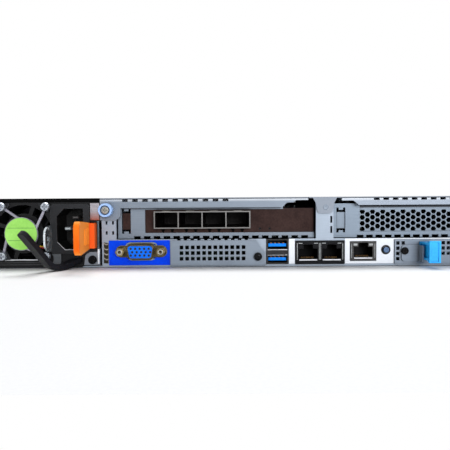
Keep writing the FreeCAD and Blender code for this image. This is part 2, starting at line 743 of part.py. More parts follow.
def cage_cuts(side):
    """The vents on the top bend, the stepped end beside the cover tongue and the thumbscrew hole."""
    drop = CAGE_VENT_DROP if side < 0 else RIGHT_VENT_DROP
    half = CAGE_VENT_WIDTH / 2
    cuts = [block(x - half, x + half, CAGE_FRONT - FIT, REAR + CAGE_VENT_DEPTH, CAGE_TOP - drop, CAGE_TOP + FIT)
            for x in vent_centres(side)]
    inner = strip_span(side)[1] if side < 0 else strip_span(side)[0]
    low = strip_bottom(side)
    rise = CAGE_TOP - SHEET - low
    steps = LEFT_STEPS if side < 0 else RIGHT_STEPS
    points = [(inner + side * run, low + share * rise) for run, share in steps]
    points = [(points[0][0], low - SHEET)] + points + [(points[-1][0], low - SHEET)]
    cuts.append(prism_y(points, CAGE_FRONT - FIT, CAGE_WALL_Y))
    if side < 0:
        cuts.append(block(points[1][0] + SHEET, LEFT_SLOT_X1, CAGE_WALL_Y - FIT, BRACKET_Y,
                          WINDOW_TOP - FIT, low + SHEET + FIT))
    shank = many_sided(thumbscrew_x(side), THUMBSCREW_Z, THUMBSCREW_SHANK_R + FIT, CAGE_FRONT, REAR, EYE_SIDES)
    return cuts + [shank]


def riser_thumbscrews():
    """Two captive thumbscrews: a ribbed knob, a slotted core and a shank through the ear and the post."""
    screws = []
    for side in (-1, 1):
        x = thumbscrew_x(side)
        y0 = CAGE_FRONT - THUMBSCREW_REACH
        knob = many_sided(x, THUMBSCREW_Z, THUMBSCREW_R, y0, CAGE_FRONT, BUTTON_SIDES)
        cup = many_sided(x, THUMBSCREW_Z, THUMBSCREW_R - THUMBSCREW_RIM, y0, y0 + THUMBSCREW_CUP, BUTTON_SIDES)
        y1 = CAGE_FRONT - SHEET
        head = many_sided(x, THUMBSCREW_Z, THUMBSCREW_CORE_R, y0 + THUMBSCREW_SET, y1, BUTTON_SIDES)
        shank = many_sided(x, THUMBSCREW_Z, THUMBSCREW_SHANK_R, y1, REAR + SCREW_LENGTH, EYE_SIDES)
        screws.append(joined([knob.cut(cup), head, shank]))
    return Part.makeCompound(screws)


def tail_edges(side):
    """The span of a slot bracket, from its narrow tail to the end of the window."""
    slot_x0 = LEFT_SLOT_X0 if side < 0 else RIGHT_SLOT_X0
    slot_x1 = LEFT_SLOT_X1 if side < 0 else RIGHT_SLOT_X1
    tail_x0 = slot_x0 + FIT + TAIL_WINDOW_MARGIN
    return tail_x0 + FIT, tail_x0 + TAIL_WINDOW_WIDTH + FIT, slot_x1 - 2 * FIT


def bracket_outline(side):
    """The outline of an expansion bracket: a narrow tail that tapers out to the full width."""
    x0, neck, x1 = tail_edges(side)
    tail = BRACKET_TAIL_HEIGHT / 2
    full = BRACKET_HEIGHT / 2
    taper = neck + full - tail
    points = [
        (x0, BRACKET_Z - tail), (neck, BRACKET_Z - tail), (taper, BRACKET_Z - full), (x1, BRACKET_Z - full),
        (x1, BRACKET_Z + full), (taper, BRACKET_Z + full), (neck, BRACKET_Z + tail), (x0, BRACKET_Z + tail),
    ]
    return outline_xz(points, BRACKET_Y)


def sfp_span():
    """The optical cage, from its left wall to its right wall and from the card up."""
    x0 = tail_edges(-1)[1] + WINDOW_GAP + SFP_MARGIN + FIT
    width = SFP_PORTS * SFP_PORT_WIDTH + (SFP_PORTS + 1) * SFP_WALL
    z0 = CARD_Z + CARD_THICK
    return x0, x0 + width, z0, z0 + SFP_PORT_HEIGHT + 2 * SFP_WALL


def network_card_bracket():
    x0, x1, z0, z1 = sfp_span()
    holes = [rect_xz(x0 - FIT, x1 + FIT, z0 - FIT, z1 + FIT, BRACKET_Y)]
    light_z = z0 - LIGHT_PIPE - FIT
    pitch = SFP_PORT_WIDTH + SFP_WALL
    for centre in spread(SFP_PORTS, pitch, (x0 + x1) / 2):
        for x in spread(2, SFP_PORT_WIDTH / 2.4, centre):
            half = LIGHT_PIPE * 0.8
            holes.append(outline_xz([(x - half, light_z + half), (x, light_z - half), (x + half, light_z + half)],
                                    BRACKET_Y))
    for x in spread(2, LIGHT_HOLE_PITCH, x1 + LIGHT_HOLE_SET):
        holes.append(ring_of(x, z0 - LIGHT_HOLE_DROP, LIGHT_PIPE / 2, BRACKET_Y, EYE_SIDES))
    return plate_y(bracket_outline(-1), holes, BRACKET_Y, SHEET)


def sfp_cage():
    x0, x1, z0, z1 = sfp_span()
    y0 = REAR - SFP_PROUD
    cage = block(x0, x1, y0, y0 + SFP_DEPTH, z0, z1)
    pitch = SFP_PORT_WIDTH + SFP_WALL
    half = SFP_PORT_WIDTH / 2
    ports = [block(x - half, x + half, y0, y0 + SFP_DEPTH - SFP_WALL, z0 + SFP_WALL, z1 - SFP_WALL)
             for x in spread(SFP_PORTS, pitch, (x0 + x1) / 2)]
    return cage.cut(ports)


def riser_plane(side):
    """The face of the cage's side plate, where the riser board is fixed."""
    return (LEFT_SLOT_X0 if side < 0 else RIGHT_SLOT_X0) + 2 * FIT + SHEET


def riser_boards():
    """Two upright riser boards, each with an edge slot for a card lying flat."""
    boards = []
    y0 = REAR + RISER_BOARD_SET
    y1 = y0 + RISER_BOARD_LENGTH
    for side in (-1, 1):
        x0 = riser_plane(side)
        x1 = x0 + RISER_BOARD
        board = block(x0, x1, y0, y1, BOARD_TOP, CAGE_TOP - SHEET - FIT)
        mid = CARD_Z + CARD_THICK / 2
        slot = block(x1, x1 + SLOT_CONNECTOR, y0 + SLOT_CONNECTOR, y1 - SLOT_CONNECTOR,
                     mid - SLOT_CONNECTOR_HEIGHT / 2, mid + SLOT_CONNECTOR_HEIGHT / 2)
        mouth = block(x1 + SLOT_CONNECTOR / 4, x1 + SLOT_CONNECTOR, y0 + SLOT_CONNECTOR + SHEET,
                      y1 - SLOT_CONNECTOR - SHEET, CARD_Z - RUN, CARD_Z + CARD_THICK + RUN)
        boards.append(joined([board, slot.cut(mouth)]))
    return Part.makeCompound(boards)


def network_card_board():
    """The card: a board with an edge tongue that plugs into the left riser."""
    slot_x0 = riser_plane(-1) + RISER_BOARD + SLOT_CONNECTOR / 4
    x0 = slot_x0 + SLOT_CONNECTOR
    y0 = REAR + RISER_BOARD_SET + SLOT_CONNECTOR
    y1 = REAR + RISER_BOARD_SET + RISER_BOARD_LENGTH - SLOT_CONNECTOR
    board = block(x0, x0 + CARD_WIDTH, BRACKET_Y + SHEET + FIT, BRACKET_Y + CARD_LENGTH,
                  CARD_Z, CARD_Z + CARD_THICK)
    tongue = block(slot_x0 + FIT, x0, y0 + SHEET + FIT, y1 - SHEET - FIT, CARD_Z, CARD_Z + CARD_THICK)
    return joined([board, tongue])


def slot_filler():
    """The blank of the right slot: the bracket outline pierced by a honeycomb."""
    neck, x1 = tail_edges(1)[1:]
    x0 = neck + WINDOW_GAP + HONEYCOMB_SET
    column = HONEYCOMB_PITCH * math.sqrt(3) / 2
    columns = int((x1 - HONEYCOMB_RIM - x0) / column) + 1
    span = rect_xz(x0 - column, x1 - HONEYCOMB_RIM, *HONEYCOMB_SPAN, BRACKET_Y)
    rows = int((WINDOW_TOP - WINDOW_BOTTOM) / HONEYCOMB_PITCH)
    cells = []
    first = BRACKET_Z - HONEYCOMB_DROP - (rows - 0.5) * HONEYCOMB_PITCH / 2
    for index in range(columns):
        odd = index % 2
        for row in range(rows if odd else rows + 1):
            z = first + (row + odd / 2) * HONEYCOMB_PITCH
            cells.append(hexagon(x0 + index * column, z, HONEYCOMB_HOLE, BRACKET_Y).common(span))
    return plate_y(bracket_outline(1), cells, BRACKET_Y, SHEET)


def d_shape(width, height, y0, y1, radius):
    """A D-shaped prism about the VGA centre, wider at the top."""
    slant = height * math.tan(math.radians(VGA_SLANT))
    half = width / 2
    points = [(-half, height / 2), (half, height / 2), (half - slant, -height / 2), (slant - half, -height / 2)]
    solid = prism_y([(VGA_X + x, VGA_Z + z) for x, z in points], y0, y1)
    return rounded(solid, radius, ALONG_Y)


def vga_shell():
    """The plated shell: a flange with round ends, a D-shaped skirt and a collar."""
    half = VGA_FLANGE_WIDTH / 2
    rise = VGA_FLANGE_HEIGHT / 2
    flange = block(VGA_X - half, VGA_X + half, REAR - VGA_FLANGE, REAR, VGA_Z - rise, VGA_Z + rise)
    flange = rounded(flange, rise * 0.95, ALONG_Y)
    skirt = d_shape(VGA_WIDTH + 2 * VGA_SKIRT, VGA_HEIGHT + 2 * VGA_SKIRT, REAR - 2 * VGA_FLANGE, REAR,
                    VGA_ROUND + VGA_SKIRT)
    collar = d_shape(VGA_WIDTH, VGA_HEIGHT, REAR - VGA_REACH, REAR - VGA_FLANGE, VGA_ROUND)
    bore = d_shape(VGA_WIDTH - 2 * VGA_WALL, VGA_HEIGHT - 2 * VGA_WALL, REAR - VGA_REACH, REAR,
                   VGA_ROUND - VGA_WALL)
    return joined([flange, skirt, collar]).cut(bore)


def mid_mount(x0, x1, z0, z1, y0):
    """A connector body sunk in a notch of the board, with a rear step that rests on the board."""
    low = block(x0, x1, y0, REAR + BOARD_SET - FIT, z0, z1)
    high = block(x0, x1, REAR + BOARD_SET - FIT, REAR + JACK_DEPTH, max(BOARD_TOP, z0), z1)
    return joined([low, high])


def vga_insert():
    """The blue insulator inside the collar, and its body on the board."""
    core = d_shape(VGA_WIDTH - 2 * VGA_WALL - 2 * RUN, VGA_HEIGHT - 2 * VGA_WALL - 2 * RUN,
                   REAR - VGA_REACH + VGA_INSERT_SET, REAR + SHEET + FIT, VGA_ROUND - VGA_WALL - RUN)
    half = VGA_FLANGE_WIDTH / 2
    rise = VGA_HEIGHT / 2
    body = mid_mount(VGA_X - half, VGA_X + half, VGA_Z - rise, VGA_Z + rise, REAR + SHEET + FIT)
    return joined([core, body])


def vga_jackscrews():
    """Two hexagonal jackscrews on the flange, each with a threaded bore."""
    screws = []
    for x in spread(2, JACKSCREW_SPAN, VGA_X):
        y1 = REAR - VGA_FLANGE
        post = hexagon(x, VGA_Z, JACKSCREW_FLATS, y1 - JACKSCREW_REACH).extrude(V(0, JACKSCREW_REACH, 0))
        bore = many_sided(x, VGA_Z, JACKSCREW_BORE_R, y1 - JACKSCREW_REACH, y1 - 1, EYE_SIDES)
        screws.append(post.cut(bore))
    return Part.makeCompound(screws)


def lom_filler():
    """The blanking plate of the empty LAN module: a vent grid, a screw hole and a stepped corner."""
    x0 = FILLER_X0
    x1 = FILLER_X1
    step = FILLER_TOP - FILLER_STEP_DROP
    points = [(x0, FILLER_BOTTOM), (x1, FILLER_BOTTOM), (x1, step - FILLER_STEP_WIDTH / 2),
              (x1 - FILLER_STEP_WIDTH / 2, step), (x1 - FILLER_STEP_WIDTH, FILLER_TOP), (x0, FILLER_TOP)]
    holes = [ring_of(FILLER_SCREW_X, FILLER_SCREW_Z, SCREW_R + FIT, REAR - SHEET, EYE_SIDES)]
    mid_z = (FILLER_BOTTOM + FILLER_TOP) / 2
    for column in range(FILLER_VENT_COLUMNS):
        x = x0 + FILLER_VENT_MARGIN + column * VENT_PITCH
        for z in spread(FILLER_VENT_ROWS, VENT_PITCH, mid_z):
            half = FILLER_VENT / 2
            holes.append(rect_xz(x - half, x + half, z - half, z + half, REAR - SHEET))
    return plate_y(outline_xz(points, REAR - SHEET), holes, REAR - SHEET, SHEET)


def panel_screw():
    """The black screw of the blanking plate: a flat head and a shank through plate and wall."""
    y1 = REAR - SHEET
    head = many_sided(FILLER_SCREW_X, FILLER_SCREW_Z, SCREW_HEAD_R, y1 - SCREW_HEAD, y1, BUTTON_SIDES)
    shank = many_sided(FILLER_SCREW_X, FILLER_SCREW_Z, SCREW_R, y1, y1 + SCREW_LENGTH, EYE_SIDES)
    return joined([head, shank])


def usb_ports():
    """The span of each of the two stacked USB openings, from the bottom up."""
    low = USB_BOTTOM + USB_WALL
    high = USB_TOP - USB_WALL - USB_PORT_HEIGHT
    return [(z, z + USB_PORT_HEIGHT) for z in (low, high)]


def usb_shell():
    body = mid_mount(USB_X0, USB_X0 + USB_WIDTH, USB_BOTTOM, USB_TOP, REAR - JACK_PROUD)
    ports = [block(USB_X0 + USB_WALL, USB_X0 + USB_WIDTH - USB_WALL, REAR - JACK_PROUD,
                   REAR + BOARD_SET - 2 * USB_WALL, z0, z1) for z0, z1 in usb_ports()]
    return body.cut(ports)


def usb_tongues():
    """The blue tongue of each USB opening, on its insulator at the back."""
    tongues = []
    x0 = USB_X0 + USB_WALL + RUN
    x1 = USB_X0 + USB_WIDTH - USB_WALL - RUN
    back = REAR + BOARD_SET - 2 * USB_WALL - RUN
    for z0, z1 in usb_ports():
        insulator = block(x0, x1, back - 3, back, z0 + RUN, z1 - RUN)
        tongue = block(x0 + TONGUE_MARGIN, x1 - TONGUE_MARGIN, REAR + TONGUE_MARGIN, back,
                       z0 + TONGUE_RISE, z0 + TONGUE_RISE + TONGUE_HEIGHT)
        tongues.append(joined([insulator, tongue]))
    return Part.makeCompound(tongues)


def jack(x0, width, bottom, top, port_rise, ports):
    """A shielded LAN jack whose openings have the keyway of the clip at the top."""
    body = mid_mount(x0, x0 + width, bottom, top, REAR - JACK_PROUD)
    z0 = bottom + port_rise
    z1 = z0 + JACK_PORT_HEIGHT
    half = JACK_PORT_WIDTH / 2
    key = JACK_KEY_WIDTH / 2
    z2 = min(z1 + JACK_KEY_HEIGHT, top - USB_WALL)
    y0 = REAR - JACK_PROUD
    cuts = []
    for x in spread(ports, width / ports - USB_WALL, x0 + width / 2):
        points = [(x - half, z0), (x + half, z0), (x + half, z1), (x + key, z1),
                  (x + key, z2), (x - key, z2), (x - key, z1), (x - half, z1)]
        cuts.append(prism_y(points, y0, y0 + JACK_PORT_DEPTH))
    return body.cut(cuts)


def uid_button():
    """A round plunger with a square collar behind the wall."""
    shaft = many_sided(UID_X, UID_Z, UID_R, REAR - 2 * UID_TRAVEL, REAR + UID_LENGTH, BUTTON_SIDES)
    half = UID_HOLE_R + 2 * FIT
    behind = REAR + SHEET
    collar = block(UID_X - half, UID_X + half, behind + RUN, behind + UID_COLLAR, UID_Z - half, UID_Z + half)
    return joined([shaft, collar])


def module_arm_x():
    """The pull arm of the expansion module, from its left edge to its bend."""
    x0 = MODULE_X0 + MODULE_ARM_X
    return x0, x0 + MODULE_ARM_WIDTH


def module_panel():
    """The expansion module: a vented panel, its card and the sheet arm of the pull handle."""
    y0 = REAR - SHEET
    outline = rect_xz(MODULE_X0, MODULE_X1, MODULE_BOTTOM, MODULE_TOP, y0)
    half = VENT_HOLE / 2
    rows = [MODULE_VENT_TOP - row * MODULE_VENT_PITCH for row in range(MODULE_VENT_ROWS)]
    edge_x = MODULE_X0 + MODULE_ARM_X / 2 - RUN
    places = [(edge_x, z) for z in rows] + [(edge_x + MODULE_VENT_PITCH, rows[0])]
    for column in range(MODULE_VENT_COLUMNS):
        places += [(MODULE_X0 + MODULE_VENT_MARGIN + column * MODULE_VENT_PITCH, z) for z in rows[:-1]]
    holes = [rect_xz(x - half, x + half, z - half, z + half, y0) for x, z in places]
    panel = plate_y(outline, holes, y0, SHEET)
    x0 = MODULE_X0 + FILLER_LAP + FIT
    x1 = MODULE_X1 - FILLER_LAP - FIT
    card = block(x0, x1, REAR, REAR + MODULE_BOARD_DEPTH, MODULE_BOARD_Z, MODULE_BOARD_Z + CARD_THICK)
    arm_x0, arm_x1 = module_arm_x()
    foot = block(arm_x0, arm_x1 - SHEET, y0 - SHEET, y0, MODULE_ARM_BOTTOM, MODULE_ARM_TOP)
    foot = rounded(foot, MODULE_ARM_ROUND, ALONG_Y, lambda c: c.x < arm_x0 + FIT)
    blade = block(arm_x1 - SHEET, arm_x1, y0 - GRIP_REACH / 2, y0, MODULE_ARM_BOTTOM, MODULE_ARM_TOP)
    return joined([panel, card, foot, blade])


def module_handle():
    """The blue pull handle: a flared grip, hollow inside, that clips round the arm."""
    arm_x1 = module_arm_x()[1]
    x0 = arm_x1 + RUN
    x1 = x0 + GRIP_WIDTH
    back = REAR - SHEET - RUN
    nose = back - GRIP_REACH
    flare = nose + GRIP_REACH / 4
    low = GRIP_Z - GRIP_BACK_HEIGHT / 2
    high = GRIP_Z + GRIP_BACK_HEIGHT / 2
    front_low = GRIP_Z - GRIP_FRONT_HEIGHT / 2
    front_high = GRIP_Z + GRIP_FRONT_HEIGHT / 2
    profile = [(back, low), (back, high), (flare, high), (nose, front_high), (nose, front_low), (flare, low)]
    grip = rounded(prism_x(profile, x0, x1), GRIP_ROUND, ALONG_X)
    pocket = block(x0, x0 + GRIP_WALL, nose + GRIP_WALL, back - GRIP_WALL, low + GRIP_WALL, high - GRIP_WALL)
    face = block(x0 + GRIP_WALL, x1 - GRIP_WALL, nose, nose + GRIP_WALL / 2,
                 front_low + GRIP_WALL, front_high - GRIP_WALL)
    return grip.cut([pocket, face])


def fan_stator(x, z, y0, sides):
    """The still part of a fan: a hub on four struts, bored for the shaft."""
    y1 = y0 + FAN_STATOR_SET
    y2 = y1 + FAN_STATOR
    hub = many_sided(x, z, FAN_HUB_R, y1, y2, sides)
    struts = []
    for step in range(4):
        strut = block(x, x + FAN_BORE_R, y1, y2, z - FAN_STRUT / 2, z + FAN_STRUT / 2)
        struts.append(strut.rotate(V(x, y1, z), ALONG_Y, 90 * step + STRUT_TURN))
    bore = rod_y(x, z, FAN_SHAFT_R + RUN, y1 + SHEET, y2)
    return joined([hub] + struts).cut(bore)


def fan_rotor(x, z, y0, length, blade_count):
    """The turning part of a fan: a hub cup with pitched blades, on a shaft in the stator."""
    stator = y0 + FAN_STATOR_SET + FAN_STATOR
    y1 = stator + FIT
    hub = many_sided(x, z, FAN_HUB_R - FIT, y1, y1 + length, HUB_SIDES)
    shaft = rod_y(x, z, FAN_SHAFT_R, y0 + FAN_STATOR_SET + SHEET + RUN, y1)
    chord = (length - 2 * SHEET) / math.cos(math.radians(FAN_BLADE_PITCH)) - FAN_BLADE_THICK
    sweep = chord * math.sin(math.radians(FAN_BLADE_PITCH)) / 2 + FAN_BLADE_THICK
    tip = math.sqrt((FAN_BORE_R - FAN_TIP_GAP) ** 2 - sweep ** 2)
    middle = V(x, y1 + length / 2, z)
    blades = []
    for step in range(blade_count):
        blade = block(x, x + tip, middle.y - chord / 2, middle.y + chord / 2,
                      z - FAN_BLADE_THICK / 2, z + FAN_BLADE_THICK / 2)
        blade = blade.rotate(middle, ALONG_X, FAN_BLADE_PITCH)
        blades.append(blade.rotate(middle, ALONG_Y, 360.0 * step / blade_count))
    return joined([hub, shaft] + blades)


def psu_case():
    """The power supply case: a sheet shell with a thick rear face for the fan, the inlet and the latch."""
    x0, x1 = PSU_X0, PSU_X1
    z0 = PSU_Z0
    z1 = z0 + PSU_HEIGHT
    shell = block(x0, x1, REAR, REAR + PSU_LENGTH, z0, z1)
    fan_x = x0 + PSU_FAN_X
    tunnel = many_sided(fan_x, PSU_FAN_Z, FAN_BORE_R, REAR, REAR + PSU_FACE_DEPTH, RING_SIDES)
    inner = block(x0 + PSU_WALL, x1 - PSU_WALL, REAR + PSU_FACE_DEPTH, REAR + PSU_LENGTH - PSU_WALL,
                  z0 + PSU_WALL, z1 - PSU_WALL)
    hole_x, hole_z = inlet_centre()
    half_w = INLET_WIDTH / 2 - PSU_WALL + FIT / 2
    half_h = INLET_HEIGHT / 2 - PSU_WALL + FIT / 2
    inlet = block(hole_x - half_w, hole_x + half_w, REAR, REAR + INLET_DEPTH + FIT,
                  hole_z - half_h, hole_z + half_h)
    pivot_x, pivot_y = latch_pivot()
    latch_z0, latch_z1 = latch_span(FIT)
    pocket_y1 = pivot_y + LATCH_KNUCKLE_R + 2 * FIT
    pocket = block(latch_base_x0() - latch_shift() - FIT, x1, REAR, pocket_y1, latch_z0, latch_z1)
    pin = rod_z(pivot_x, pivot_y, LATCH_PIN_R, latch_z0 - FIT, latch_z1 + FIT)
    inner_end = REAR + PSU_LENGTH
    vents = case_vents((x0 + x1) / 2, PSU_ZC, inner_end - PSU_WALL, 2)
    mid = (x0 + x1) / 2
    tongue = block(mid - EDGE_TONGUE_WIDTH / 2, mid + EDGE_TONGUE_WIDTH / 2, inner_end - PSU_WALL,
                   inner_end + EDGE_TONGUE_LENGTH, psu_tongue_z(), psu_tongue_z() + CARD_THICK)
    cut = shell.cut([tunnel, inner, inlet, pocket] + vents)
    return joined([cut, fan_stator(fan_x, PSU_FAN_Z, REAR, RING_SIDES), pin, tongue, face_bar()])


def face_bar():
    """The bar along the foot of the rear face, with a lip that covers the edge of the chassis floor."""
    x0 = PSU_X0 + FIT
    x1 = x0 + FACE_BAR_WIDTH
    x2 = x0 + FACE_LIP_WIDTH
    outer = REAR - FACE_BAR_REACH
    points = [(x0, FIT), (x2, FIT), (x2, PSU_Z0 + FACE_LIP_HEIGHT), (x1, PSU_Z0 + FACE_LIP_HEIGHT),
              (x1, PSU_Z0 + FACE_BAR_HEIGHT), (x0, PSU_Z0 + FACE_BAR_HEIGHT)]
    room = block(x0, x2, REAR - FIT, REAR, FIT, PSU_Z0)
    groove_z = PSU_Z0 + FACE_BAR_HEIGHT / 2
    groove = block(x0, x1 - FIT, outer, outer + FIT, groove_z - FIT, groove_z + FIT)
    return prism_y(points, outer, REAR).cut([room, groove])


def case_vents(x, z, y0, rows):
    """Rows of cuts for air through a wall of a power supply case, about a centre."""
    vents = []
    for vent_x in spread(CASE_VENTS, CASE_VENT_PITCH, x):
        for vent_z in spread(rows, CASE_VENT_RISE, z):
            vents.append(block(vent_x - CASE_VENT_WIDTH / 2, vent_x + CASE_VENT_WIDTH / 2, y0, y0 + PSU_WALL,
                               vent_z - CASE_VENT_HEIGHT / 2, vent_z + CASE_VENT_HEIGHT / 2))
    return vents


def psu_tongue_z():
    return BOARD_TOP + PSU_SOCKET_HEIGHT / 2 - CARD_THICK / 2


def inlet_centre():
    return PSU_X0 + INLET_X, PSU_ZC + INLET_RISE


def latch_base_x0():
    return PSU_X1 - LATCH_INSET - LATCH_BASE


def latch_pivot():
    """The upright pin of the release latch."""
    return PSU_X1 - LATCH_INSET - LATCH_KNUCKLE_R, REAR + LATCH_PIVOT_DEPTH


def latch_shift():
    """How far the latch moves sideways at the rear face when it is squeezed."""
    return LATCH_PIVOT_DEPTH * math.sin(math.radians(LATCH_SWING))


def latch_span(grow):
    """The lower and upper edge of the latch at its root, with room added."""
    middle = PSU_Z0 + LATCH_RISE
    return middle - LATCH_HEIGHT / 2 - grow, middle + LATCH_HEIGHT / 2 + grow


def psu_latch():
    """The orange latch: a base on the pin, a barb beside the bay wall and a flared thumb plate with ribs."""
    z0, z1 = latch_span(0.0)
    base_x0 = latch_base_x0()
    base_x1 = base_x0 + LATCH_BASE
    pivot_x, pivot_y = latch_pivot()
    root = REAR - INLET_FLANGE - 2 * FIT
    base = block(base_x0, base_x1, root, pivot_y, z0, z1)
    knuckle = rod_z(pivot_x, pivot_y, LATCH_KNUCKLE_R, z0, z1)
    near, crest, far = [REAR + step for step in BARB_SPAN]
    barb = prism_z([(base_x1, near), (PSU_X1 + LATCH_BARB, crest), (base_x1, far)],
                   z0 + BARB_MARGIN, z1 - BARB_MARGIN)
    plate_x1 = base_x0 + LATCH_LAP
    plate_x0 = plate_x1 - LATCH_ROOT_THICK
    tip = root - LATCH_REACH
    tip_x1 = plate_x1 + LATCH_LEAN
    flare = (LATCH_FLARE - LATCH_HEIGHT) / 2
    plate = prism_x([(root, z0), (root, z1), (tip, z1 + flare), (tip, z0 - flare)], plate_x0 - SHEET, tip_x1)
    plate = rounded(plate, LATCH_ROUND, ALONG_X, lambda c: c.y < root - LATCH_REACH / 2)
    plan = [(plate_x0, root), (plate_x1, root), (tip_x1, tip), (tip_x1 - LATCH_THICK, tip)]
    plate = plate.common(prism_z(plan, z0 - flare, z1 + flare))
    rib_half = LATCH_RIB_WIDTH / 2
    ribs = []
    for y in spread(LATCH_RIBS, LATCH_RIB_PITCH, root - LATCH_REACH * 0.4):
        x = plate_x1 + LATCH_LEAN * (root - y) / LATCH_REACH
        ribs.append(block(x - SHEET / 2, x + SHEET / 2, y - rib_half, y + rib_half,
                          z0 + LATCH_RIB_MARGIN, z1 - LATCH_RIB_MARGIN))
    heel = block(plate_x0, base_x1, root - LATCH_THICK, root, z0, z1)
    bore = rod_z(pivot_x, pivot_y, LATCH_PIN_R + RUN, z0, z1)
    return joined([base, knuckle, barb, plate, heel] + ribs).cut(bore)


def socket_outline(x, z, width, height, grow):
    """The inlet mouth: a rectangle with two corners cut off on the earth side."""
    half_w = width / 2 + grow
    half_h = height / 2 + grow
    cut = SOCKET_CHAMFER
    return [(x + half_w, z - half_h), (x + half_w, z + half_h), (x - half_w + cut, z + half_h),
            (x - half_w, z + half_h - cut), (x - half_w, z - half_h + cut), (x - half_w + cut, z - half_h)]


def psu_inlet():
    """The mains inlet: a flange on the case, a body in it and a deep chamfered mouth."""
    x, z = inlet_centre()
    half_w = INLET_WIDTH / 2
    half_h = INLET_HEIGHT / 2
    flange = block(x - half_w, x + half_w, REAR - INLET_FLANGE, REAR, z - half_h, z + half_h)
    flange = rounded(flange, INLET_ROUND, ALONG_Y)
    body = block(x - half_w + PSU_WALL, x + half_w - PSU_WALL, REAR, REAR + INLET_DEPTH,
                 z - half_h + PSU_WALL, z + half_h - PSU_WALL)
    mouth = prism_y(socket_outline(x, z, SOCKET_WIDTH, SOCKET_HEIGHT, 0.0),
                    REAR - INLET_FLANGE, REAR + SOCKET_DEPTH)
    latch_z0, latch_z1 = latch_span(FIT)
    relief = block(latch_base_x0() - latch_shift() - FIT, x + half_w, REAR - INLET_FLANGE, REAR, latch_z0, latch_z1)
    return joined([flange, body]).cut([mouth, relief])


def psu_inlet_pins():
    """Three blades: earth to the left, live and neutral above and below."""
    x, z = inlet_centre()
    places = [(-PIN_OFFSET, 0.0), (PIN_OFFSET, PIN_SPREAD), (PIN_OFFSET, -PIN_SPREAD)]
    y1 = REAR + SOCKET_DEPTH
    pins = []
    for dx, dz in places:
        pin = block(x + dx - PIN_WIDTH / 2, x + dx + PIN_WIDTH / 2, y1 - PIN_LENGTH, y1,
                    z + dz - PIN_HEIGHT / 2, z + dz + PIN_HEIGHT / 2)
        tips = [edge for edge in pin.Edges if edge.CenterOfMass.y < y1 - PIN_LENGTH + RUN]
        pins.append(pin.makeChamfer(PIN_POINT, tips))
    return Part.makeCompound(pins)


def guard_eyes():
    """The four screw eyes of the guard, from the upper right one round to the left."""
    x = PSU_X0 + PSU_FAN_X + GUARD_SET_X
    z = PSU_FAN_Z + GUARD_SET_Z
    half_x = GUARD_SPAN_X / 2
    half_z = GUARD_SPAN_Z / 2
    return [(x + half_x, z + half_z), (x - half_x, z + half_z), (x - half_x, z - half_z), (x + half_x, z - half_z)]


def psu_fan_guard():
    """The guard: a ring, four slanting arms that leave it like a pinwheel and a flat eye at the end of each."""
    x = PSU_X0 + PSU_FAN_X
    z = PSU_FAN_Z
    front = REAR - GUARD_STANDOFF - GUARD_WIRE_R
    thick = V(0, 2 * GUARD_WIRE_R, 0)
    outer = ring_of(x, z, GUARD_RING_R + GUARD_WIRE_R, front, RING_SIDES)
    inner = ring_of(x, z, GUARD_RING_R - GUARD_WIRE_R, front, RING_SIDES)
    shapes = [outer.cut(inner).extrude(thick)]
    for eye_x, eye_z in guard_eyes():
        angle = math.atan2(eye_z - z, eye_x - x) - math.radians(GUARD_TURN)
        corner = V(eye_x, REAR - 2 * GUARD_WIRE_R, eye_z)
        root = V(x + GUARD_RING_R * math.cos(angle), front, z + GUARD_RING_R * math.sin(angle))
        run = V(corner.x - root.x, 0, corner.z - root.z).normalize()
        across = V(-run.z, 0, run.x) * GUARD_WIRE_R
        root = root - across
        end = corner - run * (GUARD_EYE_R + GUARD_SCREW_R) / 2 - across
        shapes.append(face_of([root, end, end + thick, root + thick]).extrude(across * 2))
        eye = ring_of(eye_x, eye_z, GUARD_EYE_R, corner.y, EYE_SIDES)
        hole = ring_of(eye_x, eye_z, GUARD_SCREW_R, corner.y, EYE_SIDES)
        shapes.append(eye.cut(hole).extrude(thick))
    return joined(shapes)


def psu_tie_lug():
    """The plated lug at the inlet's left edge: an upright tab that leans outwards, with a round nose and an eye."""
    x0 = inlet_centre()[0] - INLET_WIDTH / 2
    y1 = REAR - INLET_FLANGE
    z = PSU_ZC - LUG_DROP
    nose_y = y1 - LUG_REACH
    nose_x = x0 - LUG_LEAN
    side = [(x0, y1), (x0 + LUG_SHEET, y1), (nose_x + LUG_SHEET, nose_y), (nose_x, nose_y)]
    tab = block(nose_x, x0 + LUG_SHEET, nose_y, y1, z - LUG_HEIGHT / 2, z + LUG_HEIGHT / 2)
    tab = rounded(tab, LUG_HEIGHT / 3, ALONG_X, lambda c: c.y < nose_y + FIT)
    tab = tab.common(prism_z(side, z - LUG_HEIGHT / 2, z + LUG_HEIGHT / 2))
    middle = y1 - LUG_REACH * 0.6
    hole = block(nose_x, x0 + LUG_SHEET, middle - LUG_EYE, middle + LUG_EYE, z - LUG_EYE, z + LUG_EYE)
    return tab.cut(hole)


def strap_outline():
    """The side view of the strap: two straight runs with a mitred corner, as distance out and height."""
    half = STRAP_THICK / 2
    start, corner, end = [V(out, rise, 0) for out, rise in STRAP_ROUTE]
    first = (corner - start).normalize()
    last = (end - corner).normalize()
    first_side = V(-first.y, first.x, 0) * half
    last_side = V(-last.y, last.x, 0) * half
    mitre = (first_side + last_side).normalize() * (half / math.cos(first.getAngle(last) / 2))
    lower = [start - first_side, corner - mitre, end - last_side]
    return lower + [end + last_side, corner + mitre, start + first_side]


